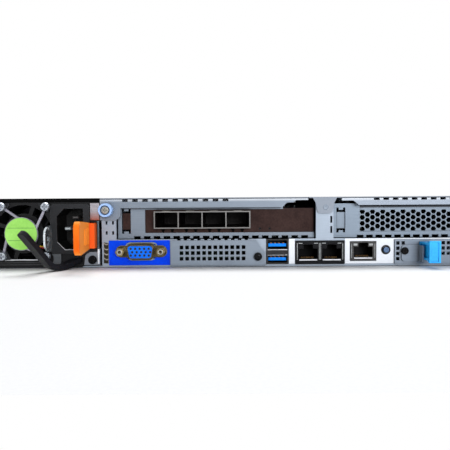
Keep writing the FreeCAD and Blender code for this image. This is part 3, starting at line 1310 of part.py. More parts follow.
def psu_strap():
    """The stiff moulded strap for the mains lead, from the foot of the case out and up to its free end."""
    ahead = V(-STRAP_SLANT, -1.0, 0.0).normalize()
    across = V(-ahead.y, ahead.x, 0.0)
    root = V(PSU_X0 + STRAP_ROOT_X, REAR, 0.0)
    side = [root + ahead * point.x + ALONG_Z * point.y - across * (STRAP_WIDTH / 2) for point in strap_outline()]
    band = face_of(side).extrude(across * STRAP_WIDTH)
    middle = across * (STRAP_WIDTH / 2)
    band = rounded(band, STRAP_BEND - STRAP_THICK / 2, across, lambda c: (c - side[4] - middle).Length < FIT)
    band = rounded(band, STRAP_BEND + STRAP_THICK / 2, across, lambda c: (c - side[1] - middle).Length < FIT)
    band = rounded(band, STRAP_WIDTH * 0.4, (side[3] - side[2]).normalize())
    behind = block(root.x - STRAP_BEND * 2, root.x + STRAP_BEND * 2, REAR, REAR + STRAP_BEND * 2,
                   -STRAP_BEND, STRAP_BEND * 2)
    return band.cut(behind)


def psu_bay_blank():
    """The blank of the second power supply bay: a vented front on a short open box."""
    z0 = PSU_Z0
    z1 = z0 + PSU_HEIGHT
    box = block(BLANK_X0, BLANK_X1, REAR, REAR + PSU_FACE_DEPTH, z0, z1)
    hollow = block(BLANK_X0 + PSU_WALL, BLANK_X1 - PSU_WALL, REAR + PSU_WALL, REAR + PSU_FACE_DEPTH,
                   z0 + PSU_WALL, z1 - PSU_WALL)
    mid = (BLANK_X0 + BLANK_X1) / 2
    vents = case_vents(mid, PSU_ZC + BLANK_LIP_RISE, REAR, 2)
    lip_half = BLANK_LIP_WIDTH / 2
    lip_z0 = z0 + BLANK_LIP_RISE
    lip = block(mid - lip_half, mid + lip_half, REAR - BLANK_LIP_REACH, REAR, lip_z0, lip_z0 + PSU_WALL)
    lip = rounded(lip, BLANK_LIP_ROUND, ALONG_Z, lambda c: c.y < REAR - BLANK_LIP_REACH / 2)
    return joined([box.cut([hollow] + vents), lip])


def system_board():
    """The board with the sockets soldered to it, each a solid of its own."""
    x_left = LEFT_IN + BOARD_EDGE
    x_right = RIGHT_IN - BOARD_EDGE
    notch_y = REAR + PSU_LENGTH + EDGE_TONGUE_LENGTH / 2
    outline = [(IO_X0 + BOARD_EDGE, REAR + BOARD_SET), (x_right, REAR + BOARD_SET), (x_right, REAR + BOARD_FRONT),
               (x_left, REAR + BOARD_FRONT), (x_left, notch_y), (IO_X0 + BOARD_EDGE, notch_y)]
    solids = [prism_z(outline, BOARD_Z, BOARD_TOP)]
    for x0 in (BLANK_X0, PSU_X0):
        mid = x0 + PSU_WIDTH / 2
        y0 = REAR + PSU_LENGTH + EDGE_TONGUE_LENGTH / 2
        socket = block(mid - PSU_SOCKET_WIDTH / 2, mid + PSU_SOCKET_WIDTH / 2, y0, y0 + PSU_SOCKET_LENGTH,
                       BOARD_TOP, BOARD_TOP + PSU_SOCKET_HEIGHT)
        half = EDGE_TONGUE_WIDTH / 2 + FIT
        slot = block(mid - half, mid + half, y0, y0 + EDGE_TONGUE_LENGTH / 2 + FIT,
                     psu_tongue_z() - FIT, psu_tongue_z() + CARD_THICK + FIT)
        solids.append(socket.cut(slot))
    for x in cpu_centres():
        y = REAR + CPU_REAR + SINK_LENGTH / 2
        solids.append(block(x - CPU_WIDTH / 2, x + CPU_WIDTH / 2, y - CPU_LENGTH / 2, y + CPU_LENGTH / 2,
                            BOARD_TOP, BOARD_TOP + CPU_HEIGHT))
    for x in dimm_centres():
        half = DIMM_SOCKET_WIDTH / 2
        y0 = REAR + DIMM_REAR
        socket = block(x - half, x + half, y0, y0 + DIMM_SOCKET_LENGTH, BOARD_TOP, BOARD_TOP + DIMM_SOCKET_HEIGHT)
        slot_half = DIMM_THICK / 2 + RUN
        inset = (DIMM_SOCKET_LENGTH - DIMM_LENGTH) / 2 - FIT
        slot = block(x - slot_half, x + slot_half, y0 + inset, y0 + DIMM_SOCKET_LENGTH - inset,
                     BOARD_TOP + DIMM_SEAT, BOARD_TOP + DIMM_SOCKET_HEIGHT)
        solids.append(socket.cut(slot))
    half = UID_SWITCH / 2
    switch_y0 = REAR + max(UID_LENGTH + UID_TRAVEL + RUN, BOARD_SET)
    solids.append(block(UID_X - half, UID_X + half, switch_y0, switch_y0 + UID_SWITCH_LENGTH,
                        BOARD_TOP, UID_Z + half))
    return Part.makeCompound(solids)


def cpu_centres():
    return [-CPU_SPREAD, CPU_SPREAD]


def dimm_centres():
    """The rows of memory sockets on both sides of each processor."""
    gap = SINK_WIDTH / 2 + DIMM_SOCKET_WIDTH / 2 + SHEET
    centres = []
    for cpu in cpu_centres():
        for index in range(DIMMS_PER_SIDE):
            reach = gap + index * DIMM_PITCH
            centres.append(cpu - reach)
            centres.append(cpu + reach)
    return centres


def cpu_heatsinks():
    """A finned heat sink on each processor, a comb-shaped profile drawn along the air flow."""
    sinks = []
    base_z = BOARD_TOP + CPU_HEIGHT
    for centre in cpu_centres():
        x0 = centre - SINK_WIDTH / 2
        pitch = (SINK_WIDTH - SINK_FIN) / (SINK_FINS - 1)
        points = [(x0, base_z), (x0 + SINK_WIDTH, base_z)]
        for index in reversed(range(SINK_FINS)):
            left = x0 + index * pitch
            low = base_z + SINK_BASE
            corner = [(left + SINK_FIN, low), (left + SINK_FIN, SINK_TOP), (left, SINK_TOP), (left, low)]
            points += corner[1:] if index == SINK_FINS - 1 else corner
        if points[-1] != points[0]:
            points.pop()
        sinks.append(prism_y(points, REAR + CPU_REAR, REAR + CPU_REAR + SINK_LENGTH))
    return Part.makeCompound(sinks)


def memory_modules():
    modules = []
    y0 = REAR + DIMM_REAR + (DIMM_SOCKET_LENGTH - DIMM_LENGTH) / 2
    z0 = BOARD_TOP + DIMM_SEAT
    for x in dimm_centres():
        half = DIMM_THICK / 2
        modules.append(block(x - half, x + half, y0, y0 + DIMM_LENGTH, z0, z0 + DIMM_HEIGHT))
    return Part.makeCompound(modules)


def fan_centres():
    return spread(SYSTEM_FANS, FAN_PITCH, 0.0)


def fan_frames():
    """Four square fan frames with round bores and their stators."""
    frames = []
    y0 = REAR + SYSTEM_FAN_REAR
    half = SYSTEM_FAN_SIZE / 2
    for x in fan_centres():
        frame = block(x - half, x + half, y0, y0 + SYSTEM_FAN_LENGTH, FLOOR, FLOOR + SYSTEM_FAN_SIZE)
        bore = many_sided(x, FAN_Z, FAN_BORE_R, y0, y0 + SYSTEM_FAN_LENGTH, HUB_SIDES)
        stator = fan_stator(x, FAN_Z, y0, HUB_SIDES).common(frame)
        frames.append(joined([frame.cut(bore), stator]))
    return Part.makeCompound(frames)


def fan_bracket():
    """The wall in front of the fans, with a square opening for each and a foot along the floor."""
    y0 = REAR + SYSTEM_FAN_REAR + SYSTEM_FAN_LENGTH
    half = RIGHT_IN - SHEET - 2 * FIT
    outline = rect_xz(-half, half, FLOOR, POST_TOP, y0)
    reach = FAN_BORE_R - SHEET
    holes = [rect_xz(x - reach, x + reach, FAN_Z - reach, FAN_Z + reach, y0) for x in fan_centres()]
    wall = plate_y(outline, holes, y0, SHEET)
    foot = block(-half, half, y0, y0 + BRACKET_FOOT, FLOOR, FLOOR + SHEET)
    return joined([wall, foot])


def drive_backplane():
    """The board behind the drives, with an air slot and a connector for each bay."""
    y0 = FRONT - BAY_LENGTH - BACKPLANE_THICK
    outline = rect_xz(LEFT_IN + FIT, RIGHT_IN - FIT, FLOOR, POST_TOP - COVER_LIP, y0)
    centres = bay_centres()
    half = AIR_SLOT_WIDTH / 2
    holes = [rect_xz(x - half, x + half, *AIR_SLOT_SPAN, y0) for x in centres]
    board = plate_y(outline, holes, y0, BACKPLANE_THICK)
    drive_y = FRONT - BEZEL_THICK + BEZEL_PROUD - FIT - DRIVE_LENGTH
    half = DRIVE_PLUG_WIDTH / 2
    plugs = [block(x - half, x + half, y0 + BACKPLANE_THICK, drive_y - FIT, *DRIVE_PLUG_SPAN) for x in centres]
    return joined([board] + plugs)


def bay_centres():
    return spread(DRIVE_BAYS, BAY_PITCH, 0.0)


def drive_cage():
    """The drive cage: a shelf over the bays, walls between them and a vented strip above the trays."""
    y0 = FRONT - BAY_LENGTH
    x0 = LEFT_IN + FIT
    x1 = RIGHT_IN - FIT
    shelf = block(x0, x1, y0, FRONT, SHELF_Z, SHELF_Z + SHEET)
    walls = [block(x - SHEET / 2, x + SHEET / 2, y0, FRONT, FLOOR, SHELF_Z)
             for x in spread(DRIVE_BAYS - 1, BAY_PITCH, 0.0)]
    strip_z0 = SHELF_Z + SHEET
    strip_z1 = WALL_TOP - FIT
    outline = rect_xz(x0, x1, strip_z0, strip_z1, FRONT - SHEET)
    mid = (strip_z0 + strip_z1) / 2
    pitch = (x1 - x0) / (STRIP_SLOTS + 1)
    holes = [rect_xz(x - STRIP_SLOT_WIDTH / 2, x + STRIP_SLOT_WIDTH / 2, mid - STRIP_SLOT_HEIGHT / 2,
                     mid + STRIP_SLOT_HEIGHT / 2, FRONT - SHEET) for x in spread(STRIP_SLOTS, pitch, 0.0)]
    strip = plate_y(outline, holes, FRONT - SHEET, SHEET)
    return joined([shelf, strip] + walls)


def bezel_span(centre):
    """The bezel of a drive tray: its sides and its lower and upper edge."""
    half = BAY_WIDTH / 2 - FIT
    z0 = FLOOR + FIT
    return centre - half, centre + half, z0, z0 + TRAY_HEIGHT


def handle_pivot(centre):
    """The upright hinge pin of a drive handle, at the left end of its bezel."""
    return bezel_span(centre)[0] + HANDLE_KNUCKLE_R + 2 * FIT, FRONT + BEZEL_PROUD - HANDLE_KNUCKLE_R


def drive_tray(centre):
    """A hot-swap tray: a slotted bezel with a recess for its handle, and a rail on each side of the drive."""
    x0, x1, z0, z1 = bezel_span(centre)
    y1 = FRONT + BEZEL_PROUD
    y0 = y1 - BEZEL_THICK
    bevel = BEZEL_BEVEL
    bezel = prism_z([(x0, y0), (x1, y0), (x1, y1 - bevel), (x1 - bevel, y1), (x0 + bevel, y1), (x0, y1 - bevel)],
                    z0, z1)
    mid_z = (z0 + z1) / 2
    low = mid_z - HANDLE_HEIGHT / 2 - FIT
    high = mid_z + HANDLE_HEIGHT / 2 + FIT
    recess_y = y1 - 2 * HANDLE_KNUCKLE_R - FIT
    recess = block(x0 + FIT, x1 - HANDLE_END_GAP, recess_y, y1, low, high)
    slots = []
    for x in spread(BEZEL_SLOTS, (x1 - x0) / (BEZEL_SLOTS + 2), centre):
        half = BEZEL_SLOT_WIDTH / 2
        slots.append(block(x - half, x + half, y0, recess_y, low + BEZEL_SLOT_EDGE, high - BEZEL_SLOT_EDGE))
    pivot_x, pivot_y = handle_pivot(centre)
    pin = rod_z(pivot_x, pivot_y, HANDLE_PIN_R, low - FIT, high + FIT)
    rails = []
    for side in (-1, 1):
        inner = centre + side * (DRIVE_WIDTH / 2 + RUN)
        outer = inner + side * RAIL_THICK
        rails.append(block(min(inner, outer), max(inner, outer), y0 - DRIVE_LENGTH, y0, z0, z0 + DRIVE_HEIGHT))
    return joined([bezel.cut([recess] + slots), pin] + rails)


def hard_drive(centre):
    """A drive: a cast body with a stepped lid."""
    z0 = FLOOR + FIT
    y1 = FRONT + BEZEL_PROUD - BEZEL_THICK - RUN
    half = DRIVE_WIDTH / 2
    y0 = y1 - DRIVE_LENGTH
    lid_z = z0 + DRIVE_HEIGHT - DRIVE_LID
    body = block(centre - half, centre + half, y0, y1, z0, lid_z)
    lid_half = half - DRIVE_LID_EDGE
    lid = block(centre - lid_half, centre + lid_half, y0 + DRIVE_LID_EDGE, y1 - DRIVE_LID_EDGE,
                lid_z, z0 + DRIVE_HEIGHT)
    return joined([body, lid])


def drive_handle(centre):
    """The lever of a drive tray: a knuckle on the pin and a bowed grip with a finger scoop at its end."""
    x0, x1, z0, z1 = bezel_span(centre)
    mid_z = (z0 + z1) / 2
    low = mid_z - HANDLE_HEIGHT / 2
    high = mid_z + HANDLE_HEIGHT / 2
    pivot_x, pivot_y = handle_pivot(centre)
    y1 = FRONT + BEZEL_PROUD
    knuckle = rod_z(pivot_x, pivot_y, HANDLE_KNUCKLE_R, low, high)
    end = x1 - HANDLE_END_GAP - 2 * FIT - HANDLE_THICK
    bar_y0 = y1 - HANDLE_THICK
    bevel = HANDLE_BEVEL
    bar = prism_z([(pivot_x, bar_y0), (end, bar_y0), (end, y1 - bevel), (end - bevel, y1), (pivot_x, y1)],
                  low, high)
    window = block(pivot_x + HANDLE_WINDOW_START, end - HANDLE_WINDOW_END, bar_y0, y1,
                   low + HANDLE_WINDOW_EDGE, high - HANDLE_WINDOW_EDGE)
    bore = rod_z(pivot_x, pivot_y, HANDLE_PIN_R + RUN, low, high)
    return joined([knuckle, bar]).cut([window, bore])


def rack_ear(side):
    """A rack ear: an L-shaped bracket with two rounded slots; the right one holds the power button."""
    wall = side * WIDTH / 2
    tip = wall + side * EAR_REACH
    y0 = FRONT - EAR_SHEET
    plate = block(min(wall, tip), max(wall, tip), y0, FRONT, EAR_EDGE, HEIGHT - EAR_EDGE)
    plate = rounded(plate, EAR_ROUND, ALONG_Y, lambda c: abs(c.x - tip) < FIT)
    leg_x = wall + side * EAR_SHEET
    leg = block(min(wall, leg_x), max(wall, leg_x), FRONT - EAR_FLANGE, FRONT, EAR_EDGE, HEIGHT - EAR_EDGE)
    cuts = []
    straight = RACK_SLOT_LENGTH / 2 - RACK_SLOT_R
    x = side * EAR_X
    for z in spread(2, RACK_HOLE_RISE, HEIGHT / 2):
        cuts.append(block(x - straight, x + straight, y0, FRONT, z - RACK_SLOT_R, z + RACK_SLOT_R))
        cuts.append(rod_y(x - straight, z, RACK_SLOT_R, y0, FRONT))
        cuts.append(rod_y(x + straight, z, RACK_SLOT_R, y0, FRONT))
    if side > 0:
        cuts.append(many_sided(x, HEIGHT / 2, POWER_R + FIT, y0, FRONT, BUTTON_SIDES))
    return joined([plate, leg]).cut(cuts)


def power_button():
    """The power button in the right ear: a round cap with a square collar behind the plate."""
    x = EAR_X
    z = HEIGHT / 2
    y1 = FRONT + 2 * POWER_TRAVEL
    cap = many_sided(x, z, POWER_R, y1 - POWER_LENGTH, y1, BUTTON_SIDES)
    collar_y = FRONT - EAR_SHEET - RUN
    half = POWER_R + 3 * FIT
    collar = block(x - half, x + half, collar_y - POWER_COLLAR, collar_y, z - half, z + half)
    return joined([cap, collar])


def cover_sheet(y0, y1):
    """A flat cover with a lip down each side, inside the tray walls."""
    top = block(-WIDTH / 2, WIDTH / 2, y0, y1, WALL_TOP, HEIGHT)
    lips = []
    for side in (-1, 1):
        outer = side * (RIGHT_IN - FIT)
        inner = outer - side * SHEET
        lips.append(block(min(outer, inner), max(outer, inner), y0 + FIT, y1 - SHEET - FIT,
                          WALL_TOP - COVER_LIP, WALL_TOP))
    return joined([top] + lips)


def front_bay_cover():
    return cover_sheet(COVER_SPLIT, FRONT)


def top_cover():
    """The sliding cover, with the tongue over the rear post and the dish of its latch."""
    y0 = REAR
    top = block(-WIDTH / 2, WIDTH / 2, y0, COVER_SPLIT - FIT, WALL_TOP, HEIGHT)
    lips = []
    lip_rear = REAR + CAGE_LENGTH + COVER_TRAVEL + 2 * FIT
    for side in (-1, 1):
        outer = side * (RIGHT_IN - FIT)
        inner = outer - side * SHEET
        lips.append(block(min(outer, inner), max(outer, inner), lip_rear, COVER_SPLIT - 2 * FIT,
                          WALL_TOP - COVER_LIP, WALL_TOP))
    low = HEIGHT - COVER_TONGUE_DROP
    tongue_y = REAR - FIT - COVER_SHEET
    neck = HEIGHT - COVER_TONGUE_DROP / 3
    levels = [(COVER_TONGUE_TOP, HEIGHT), (COVER_TONGUE_NECK, neck), (COVER_TONGUE_END, low)]
    left = [(POST_X - width / 2, z) for width, z in levels]
    right = [(POST_X + width / 2, z) for width, z in reversed(levels)]
    tongue = prism_y(left + right, tongue_y, tongue_y + COVER_SHEET)
    tongue = rounded(tongue, COVER_TONGUE_ROUND, ALONG_Y, lambda c: c.z < low + FIT)
    hem_half = COVER_TONGUE_HEM / 2
    hem = block(POST_X - hem_half, POST_X + hem_half, tongue_y, REAR, WALL_TOP, HEIGHT)
    dish_x = DISH_WIDTH / 2
    dish_y0 = REAR + DISH_REAR
    dish_y1 = dish_y0 + DISH_LENGTH
    dish_z0 = HEIGHT - DISH_DEPTH
    dish = block(-dish_x - SHEET, dish_x + SHEET, dish_y0 - SHEET, dish_y1 + SHEET, dish_z0 - SHEET, WALL_TOP)
    hollow = block(-dish_x, dish_x, dish_y0, dish_y1, dish_z0, HEIGHT)
    pivot_y, pivot_z = lever_pivot()
    holes = rod_x(pivot_y, pivot_z, LEVER_PIN_R + RUN, -dish_x - SHEET, dish_x + SHEET)
    press_z = HEIGHT - PRESS_DEPTH
    backs = [pressed_panel(side, COVER_SHEET, press_z - COVER_SHEET, WALL_TOP) for side in (-1, 1)]
    fields = [pressed_panel(side, 0.0, press_z, HEIGHT) for side in (-1, 1)]
    return joined([top, tongue, hem, dish] + lips + backs).cut([hollow, holes] + fields)


def pressed_panel(side, grow, z0, z1):
    """A shallow field pressed into one half of the cover to stiffen it: -1 left, 1 right."""
    inner = side * (PRESS_INNER - grow)
    outer = side * (RIGHT_IN - PRESS_EDGE + grow)
    y0 = REAR + PRESS_REAR - grow
    y1 = REAR + DISH_REAR - PRESS_GAP + grow
    field = block(min(inner, outer), max(inner, outer), y0, y1, z0, z1)
    return rounded(field, PRESS_ROUND + grow, ALONG_Z)


def lever_pivot():
    """The cross pin of the cover latch, near the front of its dish."""
    return REAR + DISH_REAR + DISH_LENGTH - LEVER_PIVOT_SET, HEIGHT - LEVER_THICK / 2 - 2 * FIT


def cover_latch():
    """The lever in the dish: a slab with a finger hole, on a cross pin held by the dish walls."""
    half = DISH_WIDTH / 2 - LEVER_SIDE_GAP
    pivot_y, pivot_z = lever_pivot()
    y0 = REAR + DISH_REAR + LEVER_SIDE_GAP
    slab = block(-half, half, y0, pivot_y, pivot_z - LEVER_THICK / 2, pivot_z + LEVER_THICK / 2)
    slab = rounded(slab, LEVER_ROUND, ALONG_Z, lambda c: c.y < y0 + FIT)
    barrel = rod_x(pivot_y, pivot_z, LEVER_THICK / 2, -half, half)
    pin = rod_x(pivot_y, pivot_z, LEVER_PIN_R, -DISH_WIDTH / 2 - SHEET / 2, DISH_WIDTH / 2 + SHEET / 2)
    near, far = FINGER_SPAN
    finger = block(-half / 2, half / 2, y0 + near, y0 + far, pivot_z - LEVER_THICK, pivot_z + LEVER_THICK)
    return joined([slab, barrel, pin]).cut(finger)


def cover_gasket():
    """The black strip along the cover's rear edge over the power supply bays, folded under the edge."""
    x0 = -WIDTH / 2 + SHEET
    x1 = IO_X0 - CAGE_EAR_LAP - FIT
    y0 = REAR - GASKET
    face = block(x0, x1, y0, REAR, PSU_Z0 + PSU_HEIGHT + FIT, HEIGHT)
    under = block(x0, x1, REAR, REAR + GASKET_FOLD, WALL_TOP - GASKET, WALL_TOP)
    return joined([face, under])


NODES = {
    "chassis_tray": chassis_tray(),
    "rack_ear_left": rack_ear(-1),
    "rack_ear_right": rack_ear(1),
    "front_bay_cover": front_bay_cover(),
    "drive_cage": drive_cage(),
    "drive_backplane": drive_backplane(),
    "fan_bracket": fan_bracket(),
    "fan_frames": fan_frames(),
    "system_board": system_board(),
    "cpu_heatsinks": cpu_heatsinks(),
    "memory_modules": memory_modules(),
    "riser_cage_left": riser_cage(-1),
    "riser_cage_right": riser_cage(1),
    "riser_boards": riser_boards(),
    "riser_thumbscrews": riser_thumbscrews(),
    "network_card_board": network_card_board(),
    "network_card_bracket": network_card_bracket(),
    "sfp_cage": sfp_cage(),
    "slot_filler": slot_filler(),
    "vga_shell": vga_shell(),
    "vga_insert": vga_insert(),
    "vga_jackscrews": vga_jackscrews(),
    "lom_filler": lom_filler(),
    "panel_screw": panel_screw(),
    "usb_shell": usb_shell(),
    "usb_tongues": usb_tongues(),
    "lan_jack_dual": jack(LAN_X0, LAN_WIDTH, LAN_BOTTOM, LAN_TOP, LAN_PORT_RISE, 2),
    "management_jack": jack(MANAGEMENT_X0, MANAGEMENT_WIDTH, MANAGEMENT_BOTTOM, MANAGEMENT_TOP,
                            MANAGEMENT_PORT_RISE, 1),
    "uid_button": uid_button(),
    "power_button": power_button(),
    "module_panel": module_panel(),
    "module_handle": module_handle(),
    "top_cover": top_cover(),
    "cover_latch": cover_latch(),
    "cover_gasket": cover_gasket(),
    "psu_case": psu_case(),
    "psu_fan_rotor": fan_rotor(PSU_X0 + PSU_FAN_X, PSU_FAN_Z, REAR, PSU_ROTOR_LENGTH, PSU_FAN_BLADES),
    "psu_fan_guard": psu_fan_guard(),
    "psu_inlet": psu_inlet(),
    "psu_inlet_pins": psu_inlet_pins(),
    "psu_latch": psu_latch(),
    "psu_tie_lug": psu_tie_lug(),
    "psu_strap": psu_strap(),
    "psu_bay_blank": psu_bay_blank(),
}
fan_rear = REAR + SYSTEM_FAN_REAR
for number, x in enumerate(fan_centres(), 1):
    NODES[f"fan_rotor_{number}"] = fan_rotor(x, FAN_Z, fan_rear, SYSTEM_ROTOR_LENGTH, SYSTEM_FAN_BLADES)
for number, x in enumerate(bay_centres(), 1):
    NODES[f"drive_tray_{number}"] = drive_tray(x)
    NODES[f"hard_drive_{number}"] = hard_drive(x)
    NODES[f"drive_handle_{number}"] = drive_handle(x)

os.makedirs("parts", exist_ok=True)
for name, shape in NODES.items():
    if not shape.isValid():
        print(name, "is not valid")
    shape.exportStep(f"parts/{name}.step")
print(len(NODES), "nodes written")
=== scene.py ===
"""Looks of the one-unit rack server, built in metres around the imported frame."""

import math

import bmesh
import bpy
from mathutils import Matrix, Vector


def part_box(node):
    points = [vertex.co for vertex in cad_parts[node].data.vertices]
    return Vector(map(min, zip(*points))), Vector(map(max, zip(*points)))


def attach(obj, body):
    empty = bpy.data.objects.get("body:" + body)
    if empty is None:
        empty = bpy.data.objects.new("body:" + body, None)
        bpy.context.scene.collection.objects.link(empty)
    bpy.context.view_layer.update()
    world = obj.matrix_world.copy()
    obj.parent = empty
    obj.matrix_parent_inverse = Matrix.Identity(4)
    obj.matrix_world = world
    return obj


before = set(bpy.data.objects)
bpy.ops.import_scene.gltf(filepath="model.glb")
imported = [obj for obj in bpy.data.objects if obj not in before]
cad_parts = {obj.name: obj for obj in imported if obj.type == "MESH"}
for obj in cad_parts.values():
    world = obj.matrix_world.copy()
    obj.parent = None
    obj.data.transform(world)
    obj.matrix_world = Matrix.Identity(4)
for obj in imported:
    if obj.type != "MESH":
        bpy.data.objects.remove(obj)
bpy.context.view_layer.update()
scene = bpy.context.scene
MM = 0.001
REAR = -360.0  # the plane of the rear wall and of the power supply's face


# Shader nodes

def linked(tree, source, target):
    """Links an output to an input."""
    tree.links.new(source, target)


def filled(tree, socket, value):
    """Links an input to an output, or sets it to a plain value."""
    if isinstance(value, bpy.types.NodeSocket):
        linked(tree, value, socket)
    else:
        socket.default_value = value


def value_node(tree, kind, **inputs):
    """A shader node with some of its named inputs set or linked."""
    node = tree.nodes.new(kind)
    for name, value in inputs.items():
        filled(tree, node.inputs[name], value)
    return node


def calculated(tree, operation, first, second, clamp=False):
    """The result of a calculation with two sockets."""
    node = tree.nodes.new("ShaderNodeMath")
    node.operation = operation
    node.use_clamp = clamp
    linked(tree, first, node.inputs[0])
    linked(tree, second, node.inputs[1])
    return node.outputs[0]


def mixed(tree, factor, low, high):
    """A colour between two colours or sockets."""
    node = tree.nodes.new("ShaderNodeMix")
    node.data_type = "RGBA"
    factor_input, low_input, high_input = node.inputs[0], node.inputs[6], node.inputs[7]
    linked(tree, factor, factor_input)
    for socket, colour in ((low_input, low), (high_input, high)):
        is_socket = isinstance(colour, bpy.types.NodeSocket)
        filled(tree, socket, colour if is_socket else (*colour, 1.0))
    return node.outputs[2]


def ranged(tree, value, low, high, to_low, to_high):
    """A value carried from one range to another and held at its ends."""
    node = tree.nodes.new("ShaderNodeMapRange")
    linked(tree, value, node.inputs[0])
    for index, number in enumerate((low, high, to_low, to_high), 1):
        node.inputs[index].default_value = number
    return node.outputs[0]


# Finishes

BRUSHED = (120, 2600, 2600)  # a grain drawn out along X
EVEN = (900, 900, 900)
# PALE_RIM is the default colour of the painted highlight on edges
PALE_RIM = (0.9, 0.92, 0.95)
EDGE_TURN = (0.97, 0.75)  # how far a rounded normal leans from the true one, from no painted edge highlight to a full one
OPEN_SKY = (0.85, 0.25)  # how open a point is, from no painted shade to full painted shade
# how far the painted crevice shade reaches, and how dark it gets as a share of the dark colour
CREVICE_REACH = 2.5
CREVICE_SHADE = 0.12
RELIEF_DEPTH = 0.1
ROUGH_SPREAD = 0.05


def finish(name, dark, light, rough, metal=0.0, grain=EVEN, spot=70.0, bump=0.1, edge=0.0, soft=0.15,
           specular=0.5, recess_shade=None, rise=None, run=(), painted_crevice_shade=0.8, rim=PALE_RIM):
    """A procedural finish. Fine grain and broad spots run between two colours, and the grain also drives roughness
    and relief. Edges get a painted highlight in the rim colour, crevices get painted shade, and the recess tint
    paints shade on what lies inside an opening; rise tints a piece along its height and run along its length,
    mostly to paint light and shade."""
    material = bpy.data.materials.new(name)
    material.use_nodes = True
    tree = material.node_tree
    shader = tree.nodes["Principled BSDF"]
    place = tree.nodes.new("ShaderNodeTexCoord").outputs["Object"]
    stretched = value_node(tree, "ShaderNodeMapping", Vector=place, Scale=grain).outputs["Vector"]
    fine = value_node(tree, "ShaderNodeTexNoise", Vector=stretched, Scale=1.0, Detail=4.0).outputs["Fac"]
    broad = value_node(tree, "ShaderNodeTexNoise", Vector=place, Scale=spot, Detail=2.0).outputs["Fac"]
    blend = calculated(tree, "ADD", fine, broad)
    colour = mixed(tree, ranged(tree, blend, 0.7, 1.3, 0.0, 1.0), dark, light)
    rounded = tree.nodes.new("ShaderNodeBevel")
    rounded.samples = 6
    rounded.inputs["Radius"].default_value = soft * MM
    # edge paints a highlight: edges are mixed towards the rim colour where the rounded normal leans away from the
    # true one
    if edge:
        true_normal = tree.nodes.new("ShaderNodeNewGeometry").outputs["True Normal"]
        turn = tree.nodes.new("ShaderNodeVectorMath")
        turn.operation = "DOT_PRODUCT"
        linked(tree, rounded.outputs[0], turn.inputs[0])
        linked(tree, true_normal, turn.inputs[1])
        edge_highlight = ranged(tree, turn.outputs["Value"], *EDGE_TURN, 0.0, edge)
        colour = mixed(tree, edge_highlight, colour, rim)
    axes = value_node(tree, "ShaderNodeSeparateXYZ", Vector=place)
    # rise and run tint a piece along Z and along Y; most looks below use them to paint light and shade
    tints = [("Z", rise)] if rise else []
    tints += [("Y", stop) for stop in run]
    # the recess tint paints shade: the colour darkens towards the inside of an opening
    tints += [("Y", recess_shade)] if recess_shade else []
    for axis, (start, end, tint) in tints:
        share = ranged(tree, axes.outputs[axis], start * MM, end * MM, 0.0, 1.0)
        colour = mixed(tree, share, colour, tint)
    # Painted shade: the colour darkens in crevices, corners and under parts, where nearby surfaces hide the sky
    shelter = tree.nodes.new("ShaderNodeAmbientOcclusion")
    shelter.samples = 4
    shelter.inputs["Distance"].default_value = CREVICE_REACH * MM
    shaded = ranged(tree, shelter.outputs["AO"], *OPEN_SKY, 0.0, painted_crevice_shade)
    colour = mixed(tree, shaded, colour, [CREVICE_SHADE * part for part in dark])
    relief = value_node(tree, "ShaderNodeBump", Strength=bump, Distance=RELIEF_DEPTH * MM, Height=fine,
                        Normal=rounded.outputs[0])
    roughness = ranged(tree, fine, 0.3, 0.7, rough - ROUGH_SPREAD, rough + ROUGH_SPREAD)
    linked(tree, colour, shader.inputs["Base Color"])
    linked(tree, roughness, shader.inputs["Roughness"])
    linked(tree, relief.outputs[0], shader.inputs["Normal"])
    shader.inputs["Metallic"].default_value = metal
    shader.inputs["Specular IOR Level"].default_value = specular
    return material
